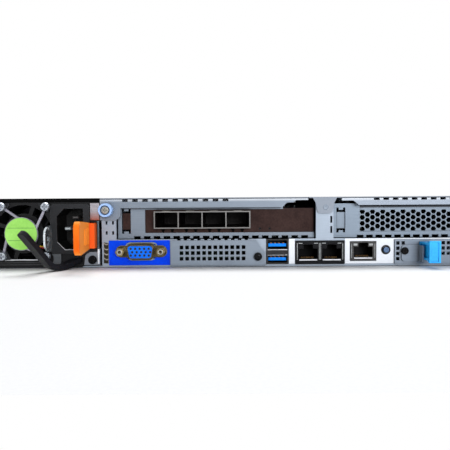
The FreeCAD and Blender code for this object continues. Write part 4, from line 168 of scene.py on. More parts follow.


# In these looks, edge and rim paint highlights on edges, the crevice setting paints shade in crevices and the
# recess tint paints shade inside openings
LOOKS = {
    # Zinc-plated sheet, in lighter and darker copies for different parts, which paint the light and shade that fall
    # on each
    "zinc": dict(dark=(0.15, 0.185, 0.23), light=(0.2, 0.235, 0.285), rough=0.48, metal=0.25, grain=BRUSHED,
                 spot=45.0, bump=0.06, edge=0.35, painted_crevice_shade=0.6),
    "cover_zinc": dict(dark=(0.235, 0.265, 0.31), light=(0.27, 0.3, 0.35), rough=0.55, metal=0.15, grain=BRUSHED,
                       spot=26.0, bump=0.06, edge=0.3, specular=0.25, painted_crevice_shade=0.6),
    "wall_zinc": dict(dark=(0.265, 0.31, 0.37), light=(0.325, 0.38, 0.45), rough=0.48, metal=0.25, grain=BRUSHED,
                      spot=45.0, bump=0.06, edge=0.35, painted_crevice_shade=0.7),
    # rise paints a highlight on the top bend, and the recess tint paints the shade that the strip casts on the
    # set-back wall
    "cage_zinc": dict(dark=(0.24, 0.275, 0.33), light=(0.29, 0.335, 0.4), rough=0.48, metal=0.25, grain=BRUSHED,
                      spot=45.0, bump=0.06, edge=0.35, rise=(40.4, 42.2, (0.55, 0.58, 0.62)), painted_crevice_shade=0.65,
                      recess_shade=(-360.4, -356.6, (0.18, 0.225, 0.28))),
    # a darker copy that paints the shade on the left side; rise paints a highlight on the top bend
    "shaded_zinc": dict(dark=(0.16, 0.19, 0.235), light=(0.2, 0.24, 0.29), rough=0.48, metal=0.25, grain=BRUSHED,
                      spot=45.0, bump=0.06, edge=0.3, rise=(40.4, 42.2, (0.55, 0.58, 0.62)), painted_crevice_shade=0.7),
    "filler_zinc": dict(dark=(0.165, 0.205, 0.255), light=(0.2, 0.245, 0.3), rough=0.48, metal=0.25, grain=BRUSHED,
                        spot=45.0, bump=0.06, edge=0.3),
    # Steel trim
    # rise paints a reddish reflection of the orange latch towards the bottom of the clip
    "clip_steel": dict(dark=(0.29, 0.27, 0.29), light=(0.42, 0.39, 0.42), rough=0.4, metal=0.6, grain=BRUSHED,
                       spot=60.0, bump=0.08, edge=0.3, rise=(35.0, 29.5, (0.3, 0.09, 0.06))),
    "foot_steel": dict(dark=(0.15, 0.17, 0.2), light=(0.24, 0.26, 0.3), rough=0.4, metal=0.6, grain=BRUSHED,
                       spot=60.0, bump=0.08, edge=0.3),
    "foot_dark": dict(dark=(0.05, 0.057, 0.063), light=(0.09, 0.098, 0.108), rough=0.45, metal=0.3, grain=BRUSHED,
                      spot=60.0, bump=0.08, edge=0.25),
    "shade_steel": dict(dark=(0.03, 0.035, 0.043), light=(0.06, 0.065, 0.08), rough=0.5, metal=0.4, grain=BRUSHED,
                        spot=60.0, bump=0.06, edge=0.1),
    "blade_steel": dict(dark=(0.06, 0.1, 0.12), light=(0.12, 0.17, 0.2), rough=0.35, metal=0.6, grain=BRUSHED,
                        spot=60.0, bump=0.06, edge=0.12),
    "bright_steel": dict(dark=(0.24, 0.27, 0.32), light=(0.6, 0.64, 0.7), rough=0.22, metal=0.8, grain=BRUSHED,
                         spot=300.0, bump=0.05, edge=0.2),
    "plated": dict(dark=(0.5, 0.54, 0.58), light=(0.78, 0.82, 0.86), rough=0.3, metal=0.45, grain=BRUSHED,
                   spot=160.0, bump=0.08, edge=0.3),
    "guard_wire": dict(dark=(0.23, 0.22, 0.27), light=(0.42, 0.41, 0.48), rough=0.3, metal=0.5, grain=BRUSHED,
                       spot=160.0, bump=0.08, edge=0.25),
    "lug_plate": dict(dark=(0.3, 0.36, 0.4), light=(0.85, 0.9, 0.94), rough=0.16, metal=0.9, grain=(380, 380, 380),
                      spot=420.0, bump=0.9, edge=0.3),
    "finger_steel": dict(dark=(0.2, 0.195, 0.17), light=(0.46, 0.445, 0.4), rough=0.3, metal=0.5, grain=BRUSHED,
                         spot=200.0, bump=0.06, edge=0.3),
    "lip_steel": dict(dark=(0.4, 0.41, 0.43), light=(0.64, 0.65, 0.68), rough=0.3, metal=0.4, grain=BRUSHED,
                      spot=200.0, bump=0.06, edge=0.2),
    # Shells of the connectors
    # In these shells the recess tint paints the shade inside the ports, and edge and rim paint highlights on the
    # edges
    "nickel": dict(dark=(0.15, 0.144, 0.138), light=(0.24, 0.233, 0.222), rough=0.35, metal=0.15, grain=BRUSHED,
                   spot=80.0, bump=0.04, edge=0.15, specular=0.1, recess_shade=(-362.2, -359.6, (0.006, 0.004, 0.0035)),
                   painted_crevice_shade=0.3),
    "warm_nickel": dict(dark=(0.04, 0.028, 0.01), light=(0.12, 0.09, 0.036), rough=0.26, metal=0.75, grain=BRUSHED,
                        spot=300.0, bump=0.05, edge=0.75, rim=(0.84, 0.7, 0.32)),
    "dark_gold": dict(dark=(0.02, 0.014, 0.005), light=(0.36, 0.28, 0.12), rough=0.2, metal=0.6, grain=BRUSHED,
                      spot=900.0, bump=0.05, edge=0.5, rim=(0.9, 0.78, 0.45)),
    "shield_shade": dict(dark=(0.012, 0.01, 0.005), light=(0.03, 0.026, 0.013), rough=0.5, metal=0.2, spot=200.0,
                         bump=0.1, specular=0.15),
    "jack_shield": dict(dark=(0.006, 0.006, 0.007), light=(0.014, 0.014, 0.016), rough=0.45, grain=BRUSHED,
                        spot=200.0, bump=0.05, edge=0.4, specular=0.04,
                        recess_shade=(-360.4, -359.4, (0.0012, 0.0012, 0.0015)), rim=(0.42, 0.42, 0.44)),
    "port_frame": dict(dark=(0.03, 0.03, 0.03), light=(0.07, 0.068, 0.066), rough=0.35, metal=0.2, grain=BRUSHED,
                       spot=200.0, bump=0.05, edge=0.6, specular=0.08,
                       recess_shade=(-360.4, -359.4, (0.0012, 0.0012, 0.0015)), rim=(0.55, 0.53, 0.5)),
    "usb_shield": dict(dark=(0.012, 0.011, 0.012), light=(0.03, 0.028, 0.03), rough=0.4, metal=0.1, grain=BRUSHED,
                       spot=200.0, bump=0.05, edge=0.5, soft=0.22, specular=0.12,
                       recess_shade=(-360.5, -359.4, (0.0015, 0.0015, 0.002)), rim=(0.62, 0.57, 0.5)),
    # Black and brown parts
    "black_plastic": dict(dark=(0.004, 0.004, 0.005), light=(0.012, 0.012, 0.014), rough=0.5, grain=(1800,) * 3,
                          bump=0.2, specular=0.25),
    "black_paint": dict(dark=(0.003, 0.003, 0.0035), light=(0.009, 0.009, 0.0105), rough=0.5, grain=(1500,) * 3,
                        bump=0.15, specular=0.18, edge=0.13),
    "rib_black": dict(dark=(0.02, 0.02, 0.022), light=(0.05, 0.05, 0.055), rough=0.4, grain=(1500,) * 3, bump=0.15,
                      specular=0.4, edge=0.1),
    "black_foam": dict(dark=(0.001, 0.001, 0.001), light=(0.004, 0.004, 0.004), rough=0.9, grain=(2500,) * 3,
                       bump=0.4, specular=0.05),
    "black_screw": dict(dark=(0.002, 0.002, 0.003), light=(0.007, 0.007, 0.008), rough=0.2, bump=0.1, specular=0.07,
                        edge=0.015),
    # the recess tint paints the shade inside the inlet's mouth, and edge paints highlights on its edges
    "inlet_plastic": dict(dark=(0.007, 0.0075, 0.009), light=(0.017, 0.018, 0.021), rough=0.5, grain=(1400,) * 3,
                          bump=0.5, specular=0.22, edge=0.26, recess_shade=(-361.0, -358.0, (0.001, 0.001, 0.001))),
    "strap_nylon": dict(dark=(0.004, 0.004, 0.0055), light=(0.011, 0.011, 0.015), rough=0.4, grain=(1200,) * 3,
                        bump=0.15, specular=0.14, soft=0.7),
    "brown_coat": dict(dark=(0.03, 0.015, 0.013), light=(0.056, 0.03, 0.026), rough=0.5, spot=120.0, bump=0.1,
                       edge=0.08, specular=0.05, painted_crevice_shade=0.25),
    # Coloured plastics
    # rise paints a highlight on the upper half; the first run paints the lit flank lighter than the tip, the second
    # run paints the neck in shade, and the recess tint paints the part inside the bay black with shade
    "orange": dict(dark=(0.9, 0.105, 0.004), light=(1.0, 0.17, 0.012), rough=0.38, spot=90.0, bump=0.05, soft=0.35,
                   rise=(15.0, 29.0, (1.0, 0.2, 0.015)), specular=0.05, painted_crevice_shade=0.1, edge=0.5, rim=(1.0, 0.42, 0.1),
                   run=((-391.6, -389.5, (1.0, 0.31, 0.035)), (-367.5, -365.0, (0.9, 0.13, 0.02))),
                   recess_shade=(-360.0, -358.8, (0.002, 0.002, 0.002))),
    "blue_pull": dict(dark=(0.008, 0.38, 0.93), light=(0.02, 0.5, 1.0), rough=0.4, spot=90.0, bump=0.08, soft=0.4,
                      specular=0.3, painted_crevice_shade=0.05, edge=0.3, rim=(0.2, 0.66, 1.0)),
    "blue_lever": dict(dark=(0.003, 0.1, 0.36), light=(0.008, 0.15, 0.46), rough=0.45, spot=90.0, bump=0.08,
                       soft=0.4, specular=0.25, edge=0.2, rim=(0.05, 0.3, 0.7)),
    "blue_knob": dict(dark=(0.3, 0.5, 0.9), light=(0.42, 0.62, 0.98), rough=0.35, spot=150.0, bump=0.05, soft=0.4),
    "blue_insert": dict(dark=(0.0, 0.12, 0.80), light=(0.0, 0.2, 0.98), rough=0.45, spot=200.0, bump=0.1,
                        painted_crevice_shade=0.3, specular=0.12),
    "blue_film": dict(dark=(0.0, 0.045, 0.74), light=(0.0, 0.07, 0.95), rough=0.45, spot=120.0, bump=0.03,
                      specular=0.06),
    # the recess tint paints the shade deeper inside the port
    "usb_blue": dict(dark=(0.0, 0.2, 0.86), light=(0.0, 0.29, 0.97), rough=0.45, spot=200.0, bump=0.1, painted_crevice_shade=0.0,
                     specular=0.1, recess_shade=(-359.45, -359.2, (0.002, 0.003, 0.005))),
    # the recess tint paints the shade deeper inside the button's hole
    "uid_blue": dict(dark=(0.035, 0.09, 0.2), light=(0.065, 0.15, 0.31), rough=0.3, spot=300.0, bump=0.05, soft=0.3,
                     recess_shade=(-360.2, -359.6, (0.003, 0.003, 0.004))),
    "power_blue": dict(dark=(0.05, 0.14, 0.36), light=(0.09, 0.22, 0.5), rough=0.3, spot=300.0, bump=0.05,
                       soft=0.3),
    # Films
    "white_film": dict(dark=(0.78, 0.81, 0.855), light=(0.87, 0.895, 0.93), rough=0.4, spot=90.0, bump=0.04,
                       painted_crevice_shade=0.4),
    "green_film": dict(dark=(0.28, 0.68, 0.09), light=(0.38, 0.79, 0.14), rough=0.4, spot=110.0, bump=0.05,
                       soft=0.3),
    "green_rule": dict(dark=(0.10, 0.34, 0.05), light=(0.15, 0.42, 0.08), rough=0.5, spot=110.0, bump=0.05),
    # Windows, contacts and leads
    "led_window": dict(dark=(0.26, 0.27, 0.27), light=(0.44, 0.46, 0.46), rough=0.3, spot=300.0, bump=0.05),
    "contact_copper": dict(dark=(0.35, 0.12, 0.03), light=(0.6, 0.24, 0.07), rough=0.3, metal=0.5, spot=300.0,
                           bump=0.05),
    "contact_gold": dict(dark=(0.06, 0.03, 0.006), light=(0.18, 0.09, 0.016), rough=0.3, metal=0.7, spot=300.0,
                         bump=0.05),
    "pin_plate": dict(dark=(0.3, 0.34, 0.36), light=(0.55, 0.6, 0.62), rough=0.3, metal=0.7, spot=200.0, bump=0.05,
                      rise=(26.0, 29.0, (0.07, 0.065, 0.065))),
    "wire_yellow": dict(dark=(0.5, 0.32, 0.01), light=(0.7, 0.46, 0.03), rough=0.4, spot=300.0, bump=0.05),
    "wire_red": dict(dark=(0.35, 0.01, 0.02), light=(0.5, 0.03, 0.04), rough=0.4, spot=300.0, bump=0.05),
    # Boards, heat sinks and drives
    "board": dict(dark=(0.006, 0.03, 0.014), light=(0.012, 0.055, 0.025), rough=0.4, grain=(500,) * 3, spot=160.0,
                  bump=0.15),
    "board_black": dict(dark=(0.002, 0.0025, 0.0025), light=(0.006, 0.007, 0.007), rough=0.5, grain=(500,) * 3,
                        spot=160.0, bump=0.15, specular=0.2),
    "fins": dict(dark=(0.55, 0.56, 0.58), light=(0.75, 0.76, 0.78), rough=0.35, metal=0.9, grain=(2600, 60, 2600),
                 spot=40.0, bump=0.06, edge=0.2),
    "cast": dict(dark=(0.28, 0.29, 0.3), light=(0.42, 0.43, 0.45), rough=0.5, metal=0.8, grain=(700,) * 3,
                 spot=60.0, bump=0.25, edge=0.2),
    "tray_plastic": dict(dark=(0.02, 0.02, 0.023), light=(0.045, 0.045, 0.05), rough=0.5, grain=(1500,) * 3,
                         bump=0.2, edge=0.08, specular=0.35),
}
FINISH = {name: finish(name, **look) for name, look in LOOKS.items()}

NODE_FINISH = {
    "zinc": ["drive_cage", "fan_bracket", "module_panel"],
    "cover_zinc": ["top_cover", "front_bay_cover"],
    "wall_zinc": ["chassis_tray"],
    "cage_zinc": ["riser_cage_right"],
    "shaded_zinc": ["riser_cage_left", "lom_filler"],
    "filler_zinc": ["slot_filler"],
    "nickel": ["sfp_cage"],
    "warm_nickel": ["vga_shell"],
    "guard_wire": ["psu_fan_guard"],
    "lug_plate": ["psu_tie_lug"],
    "dark_gold": ["vga_jackscrews"],
    "jack_shield": ["lan_jack_dual"],
    "port_frame": ["management_jack"],
    "usb_shield": ["usb_shell"],
    "black_plastic": ["fan_frames", "psu_fan_rotor"],
    "inlet_plastic": ["psu_inlet"],
    "black_paint": ["rack_ear_left", "rack_ear_right", "psu_case", "psu_bay_blank"],
    "black_foam": ["cover_gasket"],
    "black_screw": ["panel_screw"],
    "strap_nylon": ["psu_strap"],
    "brown_coat": ["network_card_bracket"],
    "orange": ["psu_latch"],
    "blue_pull": ["module_handle"],
    "blue_lever": ["cover_latch"],
    "blue_knob": ["riser_thumbscrews"],
    "blue_insert": ["vga_insert"],
    "usb_blue": ["usb_tongues"],
    "uid_blue": ["uid_button"],
    "power_blue": ["power_button"],
    "pin_plate": ["psu_inlet_pins"],
    "board": ["drive_backplane", "system_board", "memory_modules", "riser_boards"],
    "board_black": ["network_card_board"],
    "fins": ["cpu_heatsinks"],
    "cast": [],
    "tray_plastic": [],
}
for number in range(1, 5):
    NODE_FINISH["black_plastic"].append(f"fan_rotor_{number}")
    NODE_FINISH["tray_plastic"] += [f"drive_tray_{number}", f"drive_handle_{number}"]
    NODE_FINISH["cast"].append(f"hard_drive_{number}")
for finish_name, nodes in NODE_FINISH.items():
    for node in nodes:
        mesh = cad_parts[node].data
        mesh.materials.clear()
        mesh.materials.append(FINISH[finish_name])


# Shapes in millimetres

def span(node):
    """The lowest and highest corner of a CAD node in millimetres."""
    low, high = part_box(node)
    return [v / MM for v in low], [v / MM for v in high]


def middle(node, axis):
    """The middle of a CAD node along an axis."""
    low, high = span(node)
    return (low[axis] + high[axis]) / 2


def walls(bm, low, high):
    """Faces between two rings of corners."""
    for index in range(len(low)):
        bm.faces.new((low[index - 1], low[index], high[index], high[index - 1]))


def skin(bm, rings):
    """A closed solid through rings of points."""
    rows = [[bm.verts.new(Vector(point) * MM) for point in ring] for ring in rings]
    for low, high in zip(rows, rows[1:]):
        walls(bm, low, high)
    bm.faces.new(rows[0])
    bm.faces.new(rows[-1])


def prism(bm, outline, y0, y1):
    """A solid across Y from an outline of X and Z."""
    skin(bm, [[(x, y, z) for x, z in outline] for y in (y0, y1)])


def fold(bm, section, x0, x1):
    """A folded strip along X from a section of Y and Z."""
    skin(bm, [[(x, y, z) for y, z in section] for x in (x0, x1)])


def plate(bm, outline, holes, y0, y1):
    """A plate across Y from an outline with holes."""
    sides = []
    for y in (y0, y1):
        rims = [[bm.verts.new(Vector((x, y, z)) * MM) for x, z in loop] for loop in [outline] + holes]
        edges = [bm.edges.new((rim[index - 1], rim[index])) for rim in rims for index in range(len(rim))]
        bmesh.ops.triangle_fill(bm, edges=edges, use_beauty=True)
        sides.append(rims)
    for low, high in zip(*sides):
        walls(bm, low, high)


def box(x0, x1, z0, z1):
    """A rectangle between its sides."""
    return [(x0, z0), (x1, z0), (x1, z1), (x0, z1)]


def around(x, z, half_width, half_height):
    """A rectangle around its middle."""
    return box(x - half_width, x + half_width, z - half_height, z + half_height)


def circle(x, z, radius, sides=28):
    """A round outline."""
    angles = [2 * math.pi * step / sides for step in range(sides)]
    return [(x + radius * math.cos(a), z + radius * math.sin(a)) for a in angles]


def cross(x, z, reach, half):
    """The outline of a cross recess."""
    points = [(reach, -half), (reach, half), (half, half), (half, reach), (-half, reach), (-half, half),
              (-reach, half), (-reach, -half), (-half, -half), (-half, -reach), (half, -reach), (half, -half)]
    return [(x + dx, z + dz) for dx, dz in points]


def turned(bm, x, z, profile, sides=32):
    """A turned solid about a line along Y, from radius and Y pairs."""
    rings = []
    for radius, y in profile:
        rings.append([(px, y, pz) for px, pz in circle(x, z, radius, sides)])
    skin(bm, rings)


def tube(bm, path, radius, sides=10):
    """A round lead through points, with rings across its run."""
    points = [Vector(point) for point in path]
    angles = [2 * math.pi * step / sides for step in range(sides)]
    rings = []
    for index, point in enumerate(points):
        before, after = points[max(index - 1, 0)], points[min(index + 1, len(points) - 1)]
        run = (after - before).normalized()
        across = run.cross(Vector((0.0, 1.0, 0.0))).normalized()
        over = across.cross(run)
        rings.append([point + (across * math.cos(a) + over * math.sin(a)) * radius for a in angles])
    skin(bm, rings)


def screw(bm, x, z, y, radius, height, recess):
    """A screw head on a face at y: a domed rim, a floor and a cross recess."""
    front = y - height
    floor_y = front + recess
    face = radius * 0.8
    plate(bm, circle(x, z, face), [cross(x, z, radius * 0.6, radius * 0.18)], front, floor_y)
    turned(bm, x, z, [(face, floor_y), (face, front + 0.02), (radius * 0.95, front + height * 0.3),
                      (radius, front + height * 0.7), (radius, y), (radius * 0.5, y)])


def facing(place, outward):
    """The move that carries a head made at the origin, which looks along -Y, to a place where it looks outward."""
    turn = Vector((0.0, -1.0, 0.0)).rotation_difference(Vector(outward)).to_matrix().to_4x4()
    return Matrix.Translation(Vector(place) * MM) @ turn


def moved(bm, make, move):
    """What make adds to the mesh, carried by a move."""
    before = set(bm.verts)
    make()
    bmesh.ops.transform(bm, matrix=move, verts=[vert for vert in bm.verts if vert not in before])


CREASE = 0.6  # edges that turn by more than this angle stay sharp


def piece(name, bm, body, finish_name, bevel=0.0):
    """A finished object from a mesh, riding on a body."""
    bmesh.ops.recalc_face_normals(bm, faces=bm.faces)
    for face in bm.faces:
        face.smooth = True
    for edge in bm.edges:
        if len(edge.link_faces) == 2 and edge.calc_face_angle(0.0) > CREASE:
            edge.smooth = False
    mesh = bpy.data.meshes.new(name)
    bm.to_mesh(mesh)
    bm.free()
    mesh.materials.append(FINISH[finish_name])
    made = bpy.data.objects.new(name, mesh)
    scene.collection.objects.link(made)
    if bevel:
        rim = made.modifiers.new("rim", "BEVEL")
        rim.width = bevel * MM
        rim.segments = 2
        rim.limit_method = "ANGLE"
    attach(made, body)


# Power supply details

FAN_INSET = 25.6  # from the case's left side to the middle of the fan
FAN_DROP = 19.25  # from the case's top to the middle of the fan
DISC_RADIUS = 9.85
EYE_SHIFT = (1.0, 1.3)  # from the middle of the fan to the middle of its four eyes
EYE_REACH = (13.6, 15.2)


def fan_centre():
    """The middle of the fan and the front of its guard."""
    low, high = span("psu_case")
    return low[0] + FAN_INSET, high[2] - FAN_DROP, span("psu_fan_guard")[0][1]


def fan_disc():
    """The green disc on the ring of the guard, with two thin rules."""
    x, z, y = fan_centre()
    disc = bmesh.new()
    turned(disc, x, z, [(9.3, y - 0.5), (9.6, y - 0.6), (DISC_RADIUS, y - 0.45), (DISC_RADIUS, y), (9.0, y)], 64)
    piece("fan_disc", disc, "power_supply", "green_film")
    rules = bmesh.new()
    rule_reach, rule_gap = 9.2, 0.4
    for rise in (3.6, -4.0):
        half = math.sqrt(rule_reach ** 2 - rise ** 2) - rule_gap
        prism(rules, around(x, z + rise, half, 0.15), y - 0.54, y - 0.3)
    piece("fan_disc_rules", rules, "power_supply", "green_rule")


def guard_screws():
    """A domed screw in each eye of the guard, and black corner pads of the fan under three of them."""
    x, z = fan_centre()[:2]
    corner = [(-4.6, 1.4), (-2.4, -3.0), (1.0, -3.6), (1.9, -3.0), (1.9, 2.4), (-4.6, 2.4)]
    heads = bmesh.new()
    pads = bmesh.new()
    for side, level in ((1, 1), (-1, 1), (-1, -1), (1, -1)):
        eye_x = x + EYE_SHIFT[0] + side * EYE_REACH[0]
        eye_z = z + EYE_SHIFT[1] + level * EYE_REACH[1]
        screw(heads, eye_x, eye_z, REAR - 1.4, radius=2.9, height=1.9, recess=0.9)
        beside_lug = (side, level) == (1, -1)
        if not beside_lug:
            outline = [(eye_x + side * px, eye_z + level * pz) for px, pz in corner]
            prism(pads, outline, REAR - 1.0, REAR)
    piece("guard_screws", heads, "power_supply", "bright_steel")
    piece("fan_corner_pads", pads, "power_supply", "inlet_plastic", 0.3)


def fan_leads():
    """The two thin leads that run from the hub of the fan to its bore."""
    route = [(-107.4, -358.2, 14.6), (-106.0, -358.6, 13.5), (-103.6, -358.8, 13.0), (-101.4, -358.6, 12.7),
             (-99.7, -358.2, 12.4)]
    for name, drop in (("yellow", 0.0), ("red", 0.75)):
        lead = bmesh.new()
        tube(lead, [(x, y, z - drop) for x, y, z in route], 0.36)
        piece("fan_lead_" + name, lead, "power_supply", "wire_" + name)


def inlet_foot():
    """The dark foot under the inlet."""
    outline = [(-98.2, 2.05), (-91.9, 2.05), (-91.9, 8.7), (-97.8, 8.7), (-96.9, 7.0), (-96.6, 5.0), (-97.2, 3.2)]
    foot = bmesh.new()
    prism(foot, outline, REAR - 0.9, REAR)
    piece("inlet_foot", foot, "power_supply", "foot_dark", 0.25)


def case_corner():
    """The corner plate of the case with its bright flange and black screw."""
    screw_x, screw_z = -72.4, 4.85
    left, right = -68.9, -67.7
    front = REAR - 0.9
    outline = [(-77.8, 1.5), (right, 1.5), (right, 9.8), (-74.8, 9.8), (-76.9, 7.6)]
    corner = bmesh.new()
    plate(corner, outline, [circle(screw_x, screw_z, 1.6)], front, REAR)
    piece("corner_plate", corner, "power_supply", "foot_steel", 0.2)
    flange = bmesh.new()
    prism(flange, box(left, right, 2.4, 11.7), REAR - 2.4, front)
    prism(flange, box(left, right, 9.8, 11.7), front, REAR)
    piece("corner_flange", flange, "power_supply", "plated", 0.2)
    head = bmesh.new()
    screw(head, screw_x, screw_z, front, radius=2.65, height=1.4, recess=0.7)
    piece("corner_screw", head, "power_supply", "black_screw")


def latch_surround():
    """The steel clip above the latch and the folded blade beside it."""
    left, low, high = -73.3, 29.4, 40.0
    clip = bmesh.new()
    prism(clip, box(left, -67.8, low, high), REAR - 0.8, REAR)
    prism(clip, box(left, -72.5, low, high), REAR - 1.1, REAR - 0.8)
    piece("latch_clip", clip, "power_supply", "clip_steel", 0.2)
    section = [(-69.45, -0.7), (-68.15, -0.7), (-68.15, 0.0), (-68.55, 0.0), (-68.55, -0.35), (-69.45, -0.35)]
    blade = bmesh.new()
    skin(blade, [[(x, REAR + y, z) for x, y in section] for z in (11.2, 28.9)])
    piece("latch_blade", blade, "power_supply", "blade_steel", 0.2)


def fan_sill():
    """The pale folded sill under the fan and two black ribs below it."""
    case_x, case_y = span("psu_case")[0][:2]
    left = case_x + 0.4
    section = [(-0.8, 4.5), (0.0, 4.5), (0.0, 4.85), (-0.45, 4.85), (-0.45, 5.4), (-0.8, 5.4)]
    sill = bmesh.new()
    fold(sill, [(REAR + y, z) for y, z in section], left, -106.4)
    piece("fan_sill", sill, "power_supply", "lip_steel", 0.2)
    ribs = bmesh.new()
    for z in (3.35, 2.05):
        prism(ribs, box(left, -103.0, z - 0.22, z + 0.22), case_y - 0.22, REAR)
    piece("face_ribs", ribs, "power_supply", "rib_black", 0.1)


def inlet_edge_highlight():
    """A pale strip on the lower edge of the mouth of the mains inlet: a painted highlight."""
    face = span("psu_inlet")[0][1]
    outline = [(-94.1, 16.1), (-93.75, 16.1), (-89.15, 11.4), (-81.6, 11.4), (-81.6, 11.05), (-89.35, 11.05)]
    rim = bmesh.new()
    prism(rim, outline, face - 0.12, face + 0.1)
    piece("inlet_edge_highlight", rim, "power_supply", "lip_steel", 0.05)


# Rear panel details

FILM_LOW = 1.5
FILM_HIGH = 17.1


def video_film():
    """The blue film round the video connector."""
    x, z = middle("vga_shell", 0), middle("vga_shell", 2)
    side = [(7.2, 5.75), (9.1, 5.0), (10.0, 3.7), (13.2, 3.7), (15.0, 2.7), (15.95, 0.9), (15.95, -0.9),
            (15.0, -2.7), (13.2, -3.7), (9.1, -3.7), (8.1, -5.0), (6.2, -5.75)]
    cut = [(x + dx, z + dz) for dx, dz in side] + [(x - dx, z + dz) for dx, dz in reversed(side)]
    film = bmesh.new()
    plate(film, box(-62.3, -24.4, 1.2, 16.7), [cut], REAR - 0.25, REAR)
    piece("video_film", film, "chassis", "blue_film", 0.06)


def panel_films():
    """The white films beside the jacks and the button, and the black ring of the button."""
    front = REAR - 0.2
    strip_low = 16.4
    left, corner, right = 84.3, 114.6, 204.0
    films = bmesh.new()
    prism(films, box(49.5, 53.2, FILM_LOW, FILM_HIGH), front, REAR)
    low, high = span("management_jack")
    gap = 0.35
    button_x, button_z = middle("uid_button", 0), middle("uid_button", 2)
    outline = [(left, FILM_LOW), (corner, FILM_LOW), (corner, strip_low), (right, strip_low), (right, FILM_HIGH),
               (left, FILM_HIGH)]
    holes = [box(low[0] - gap, high[0] + gap, low[2] - gap, high[2] + gap), circle(button_x, button_z, 2.9)]
    plate(films, outline, holes, front, REAR)
    piece("panel_films", films, "chassis", "white_film", 0.05)
    ring = bmesh.new()
    hole = circle(button_x, button_z, 2.25, 40)
    plate(ring, circle(button_x, button_z, 2.95, 40), [hole], REAR - 0.35, REAR)
    piece("button_ring", ring, "chassis", "black_plastic", 0.05)


def video_contacts():
    """The fifteen contact holes in the face of the video connector, and the rings of its jackscrews."""
    x, z = middle("vga_shell", 0), middle("vga_shell", 2)
    face = span("vga_insert")[0][1]
    back = face + 0.1
    pitch = 2.75
    holes = bmesh.new()
    for rise, shift in ((2.05, -0.2), (0.0, 0.7), (-2.05, -0.2)):
        for column in range(5):
            hole_x, hole_z = x + shift + (column - 2) * pitch, z + rise
            plate(holes, circle(hole_x, hole_z, 0.72, 12), [circle(hole_x, hole_z, 0.3, 8)], face - 0.06, back)
            prism(holes, circle(hole_x, hole_z, 0.5, 12), face - 0.02, back)
    piece("video_contacts", holes, "chassis", "black_plastic")
    low, high = span("vga_jackscrews")
    post_z = (low[2] + high[2]) / 2
    reach = (high[2] - low[2]) / 2 / math.cos(math.pi / 6)
    rings = bmesh.new()
    for post_x in (low[0] + reach, high[0] - reach):
        hole = circle(post_x, post_z, 0.95)
        plate(rings, circle(post_x, post_z, 1.75), [hole], low[1] - 0.2, low[1] + 0.1)
    piece("jackscrew_rings", rings, "chassis", "finger_steel", 0.12)


# Node, middles of its ports, floor and top of a port, height of a window, and a seam's distance from the middle
JACKS = (("lan_jack_dual", (61.475, 76.025), 4.6, 15.6, 0.5, 6.85),
         ("management_jack", (95.6,), 5.5, 15.0, 1.3, 7.2))
USB_FLOORS = (3.6, 12.3)
USB_LIPS = ((10.35, 0.2), (7.0, 0.14))


def jack_details():
    """Light windows, contact wires, seams and bright lips of the network jacks, and contacts and lips of the USB
    port."""
    window_reach, window_half, window_drop = 4.8, 1.2, 1.1
    lip_half, seam_half = 5.6, 0.17
    wire_pitch, wire_half = 1.02, 0.2
    usb_pitch, usb_half, tip_half = 2.5, 0.5, 0.35
    windows, wires, lips, seams, tips = [bmesh.new() for _ in range(5)]
    for node, centres, floor_z, top, window, seam in JACKS:
        face = span(node)[0][1]
        back = face + 0.1
        window_top = top - window_drop
        for x in centres:
            for side in (-1, 1):
                window_x, seam_x = x + side * window_reach, x + side * seam
                outline = box(window_x - window_half, window_x + window_half, window_top - window, window_top)
                prism(windows, outline, face - 0.12, back)
                outline = box(seam_x - seam_half, seam_x + seam_half, floor_z - 0.6, top - 1.2)
                prism(seams, outline, face - 0.1, back)
            prism(lips, box(x - lip_half, x + lip_half, floor_z - 1.1, floor_z - 0.35), face - 0.15, back)
            for step in range(8):
                wire_x = x + (step - 3.5) * wire_pitch
                outline = box(wire_x - wire_half, wire_x + wire_half, floor_z + 0.1, floor_z + 0.9)
                prism(wires, outline, face + 3.2, face + 4.0)
    tongue_x = middle("usb_tongues", 0)
    for floor_z in USB_FLOORS:
        for step in range(4):
            wire_x = tongue_x + (step - 1.5) * usb_pitch
            outline = box(wire_x - usb_half, wire_x + usb_half, floor_z + 1.9, floor_z + 2.1)
            prism(wires, outline, REAR + 1.2, REAR + 8.0)
            outline = box(wire_x - tip_half, wire_x + tip_half, floor_z + 1.9, floor_z + 2.4)
            prism(tips, outline, REAR + 0.9, REAR + 1.6)
    low, high = span("usb_shell")
    for z, half in USB_LIPS:
        prism(lips, box(low[0] + 0.5, high[0] - 0.5, z - half, z + half), low[1] - 0.08, low[1] + 0.2)
    piece("jack_windows", windows, "chassis", "led_window", 0.08)
    piece("jack_contacts", wires, "chassis", "contact_gold")
    piece("jack_seams", seams, "chassis", "led_window")
    piece("usb_contact_tips", tips, "chassis", "contact_copper")
    piece("jack_lips", lips, "chassis", "lip_steel", 0.06)


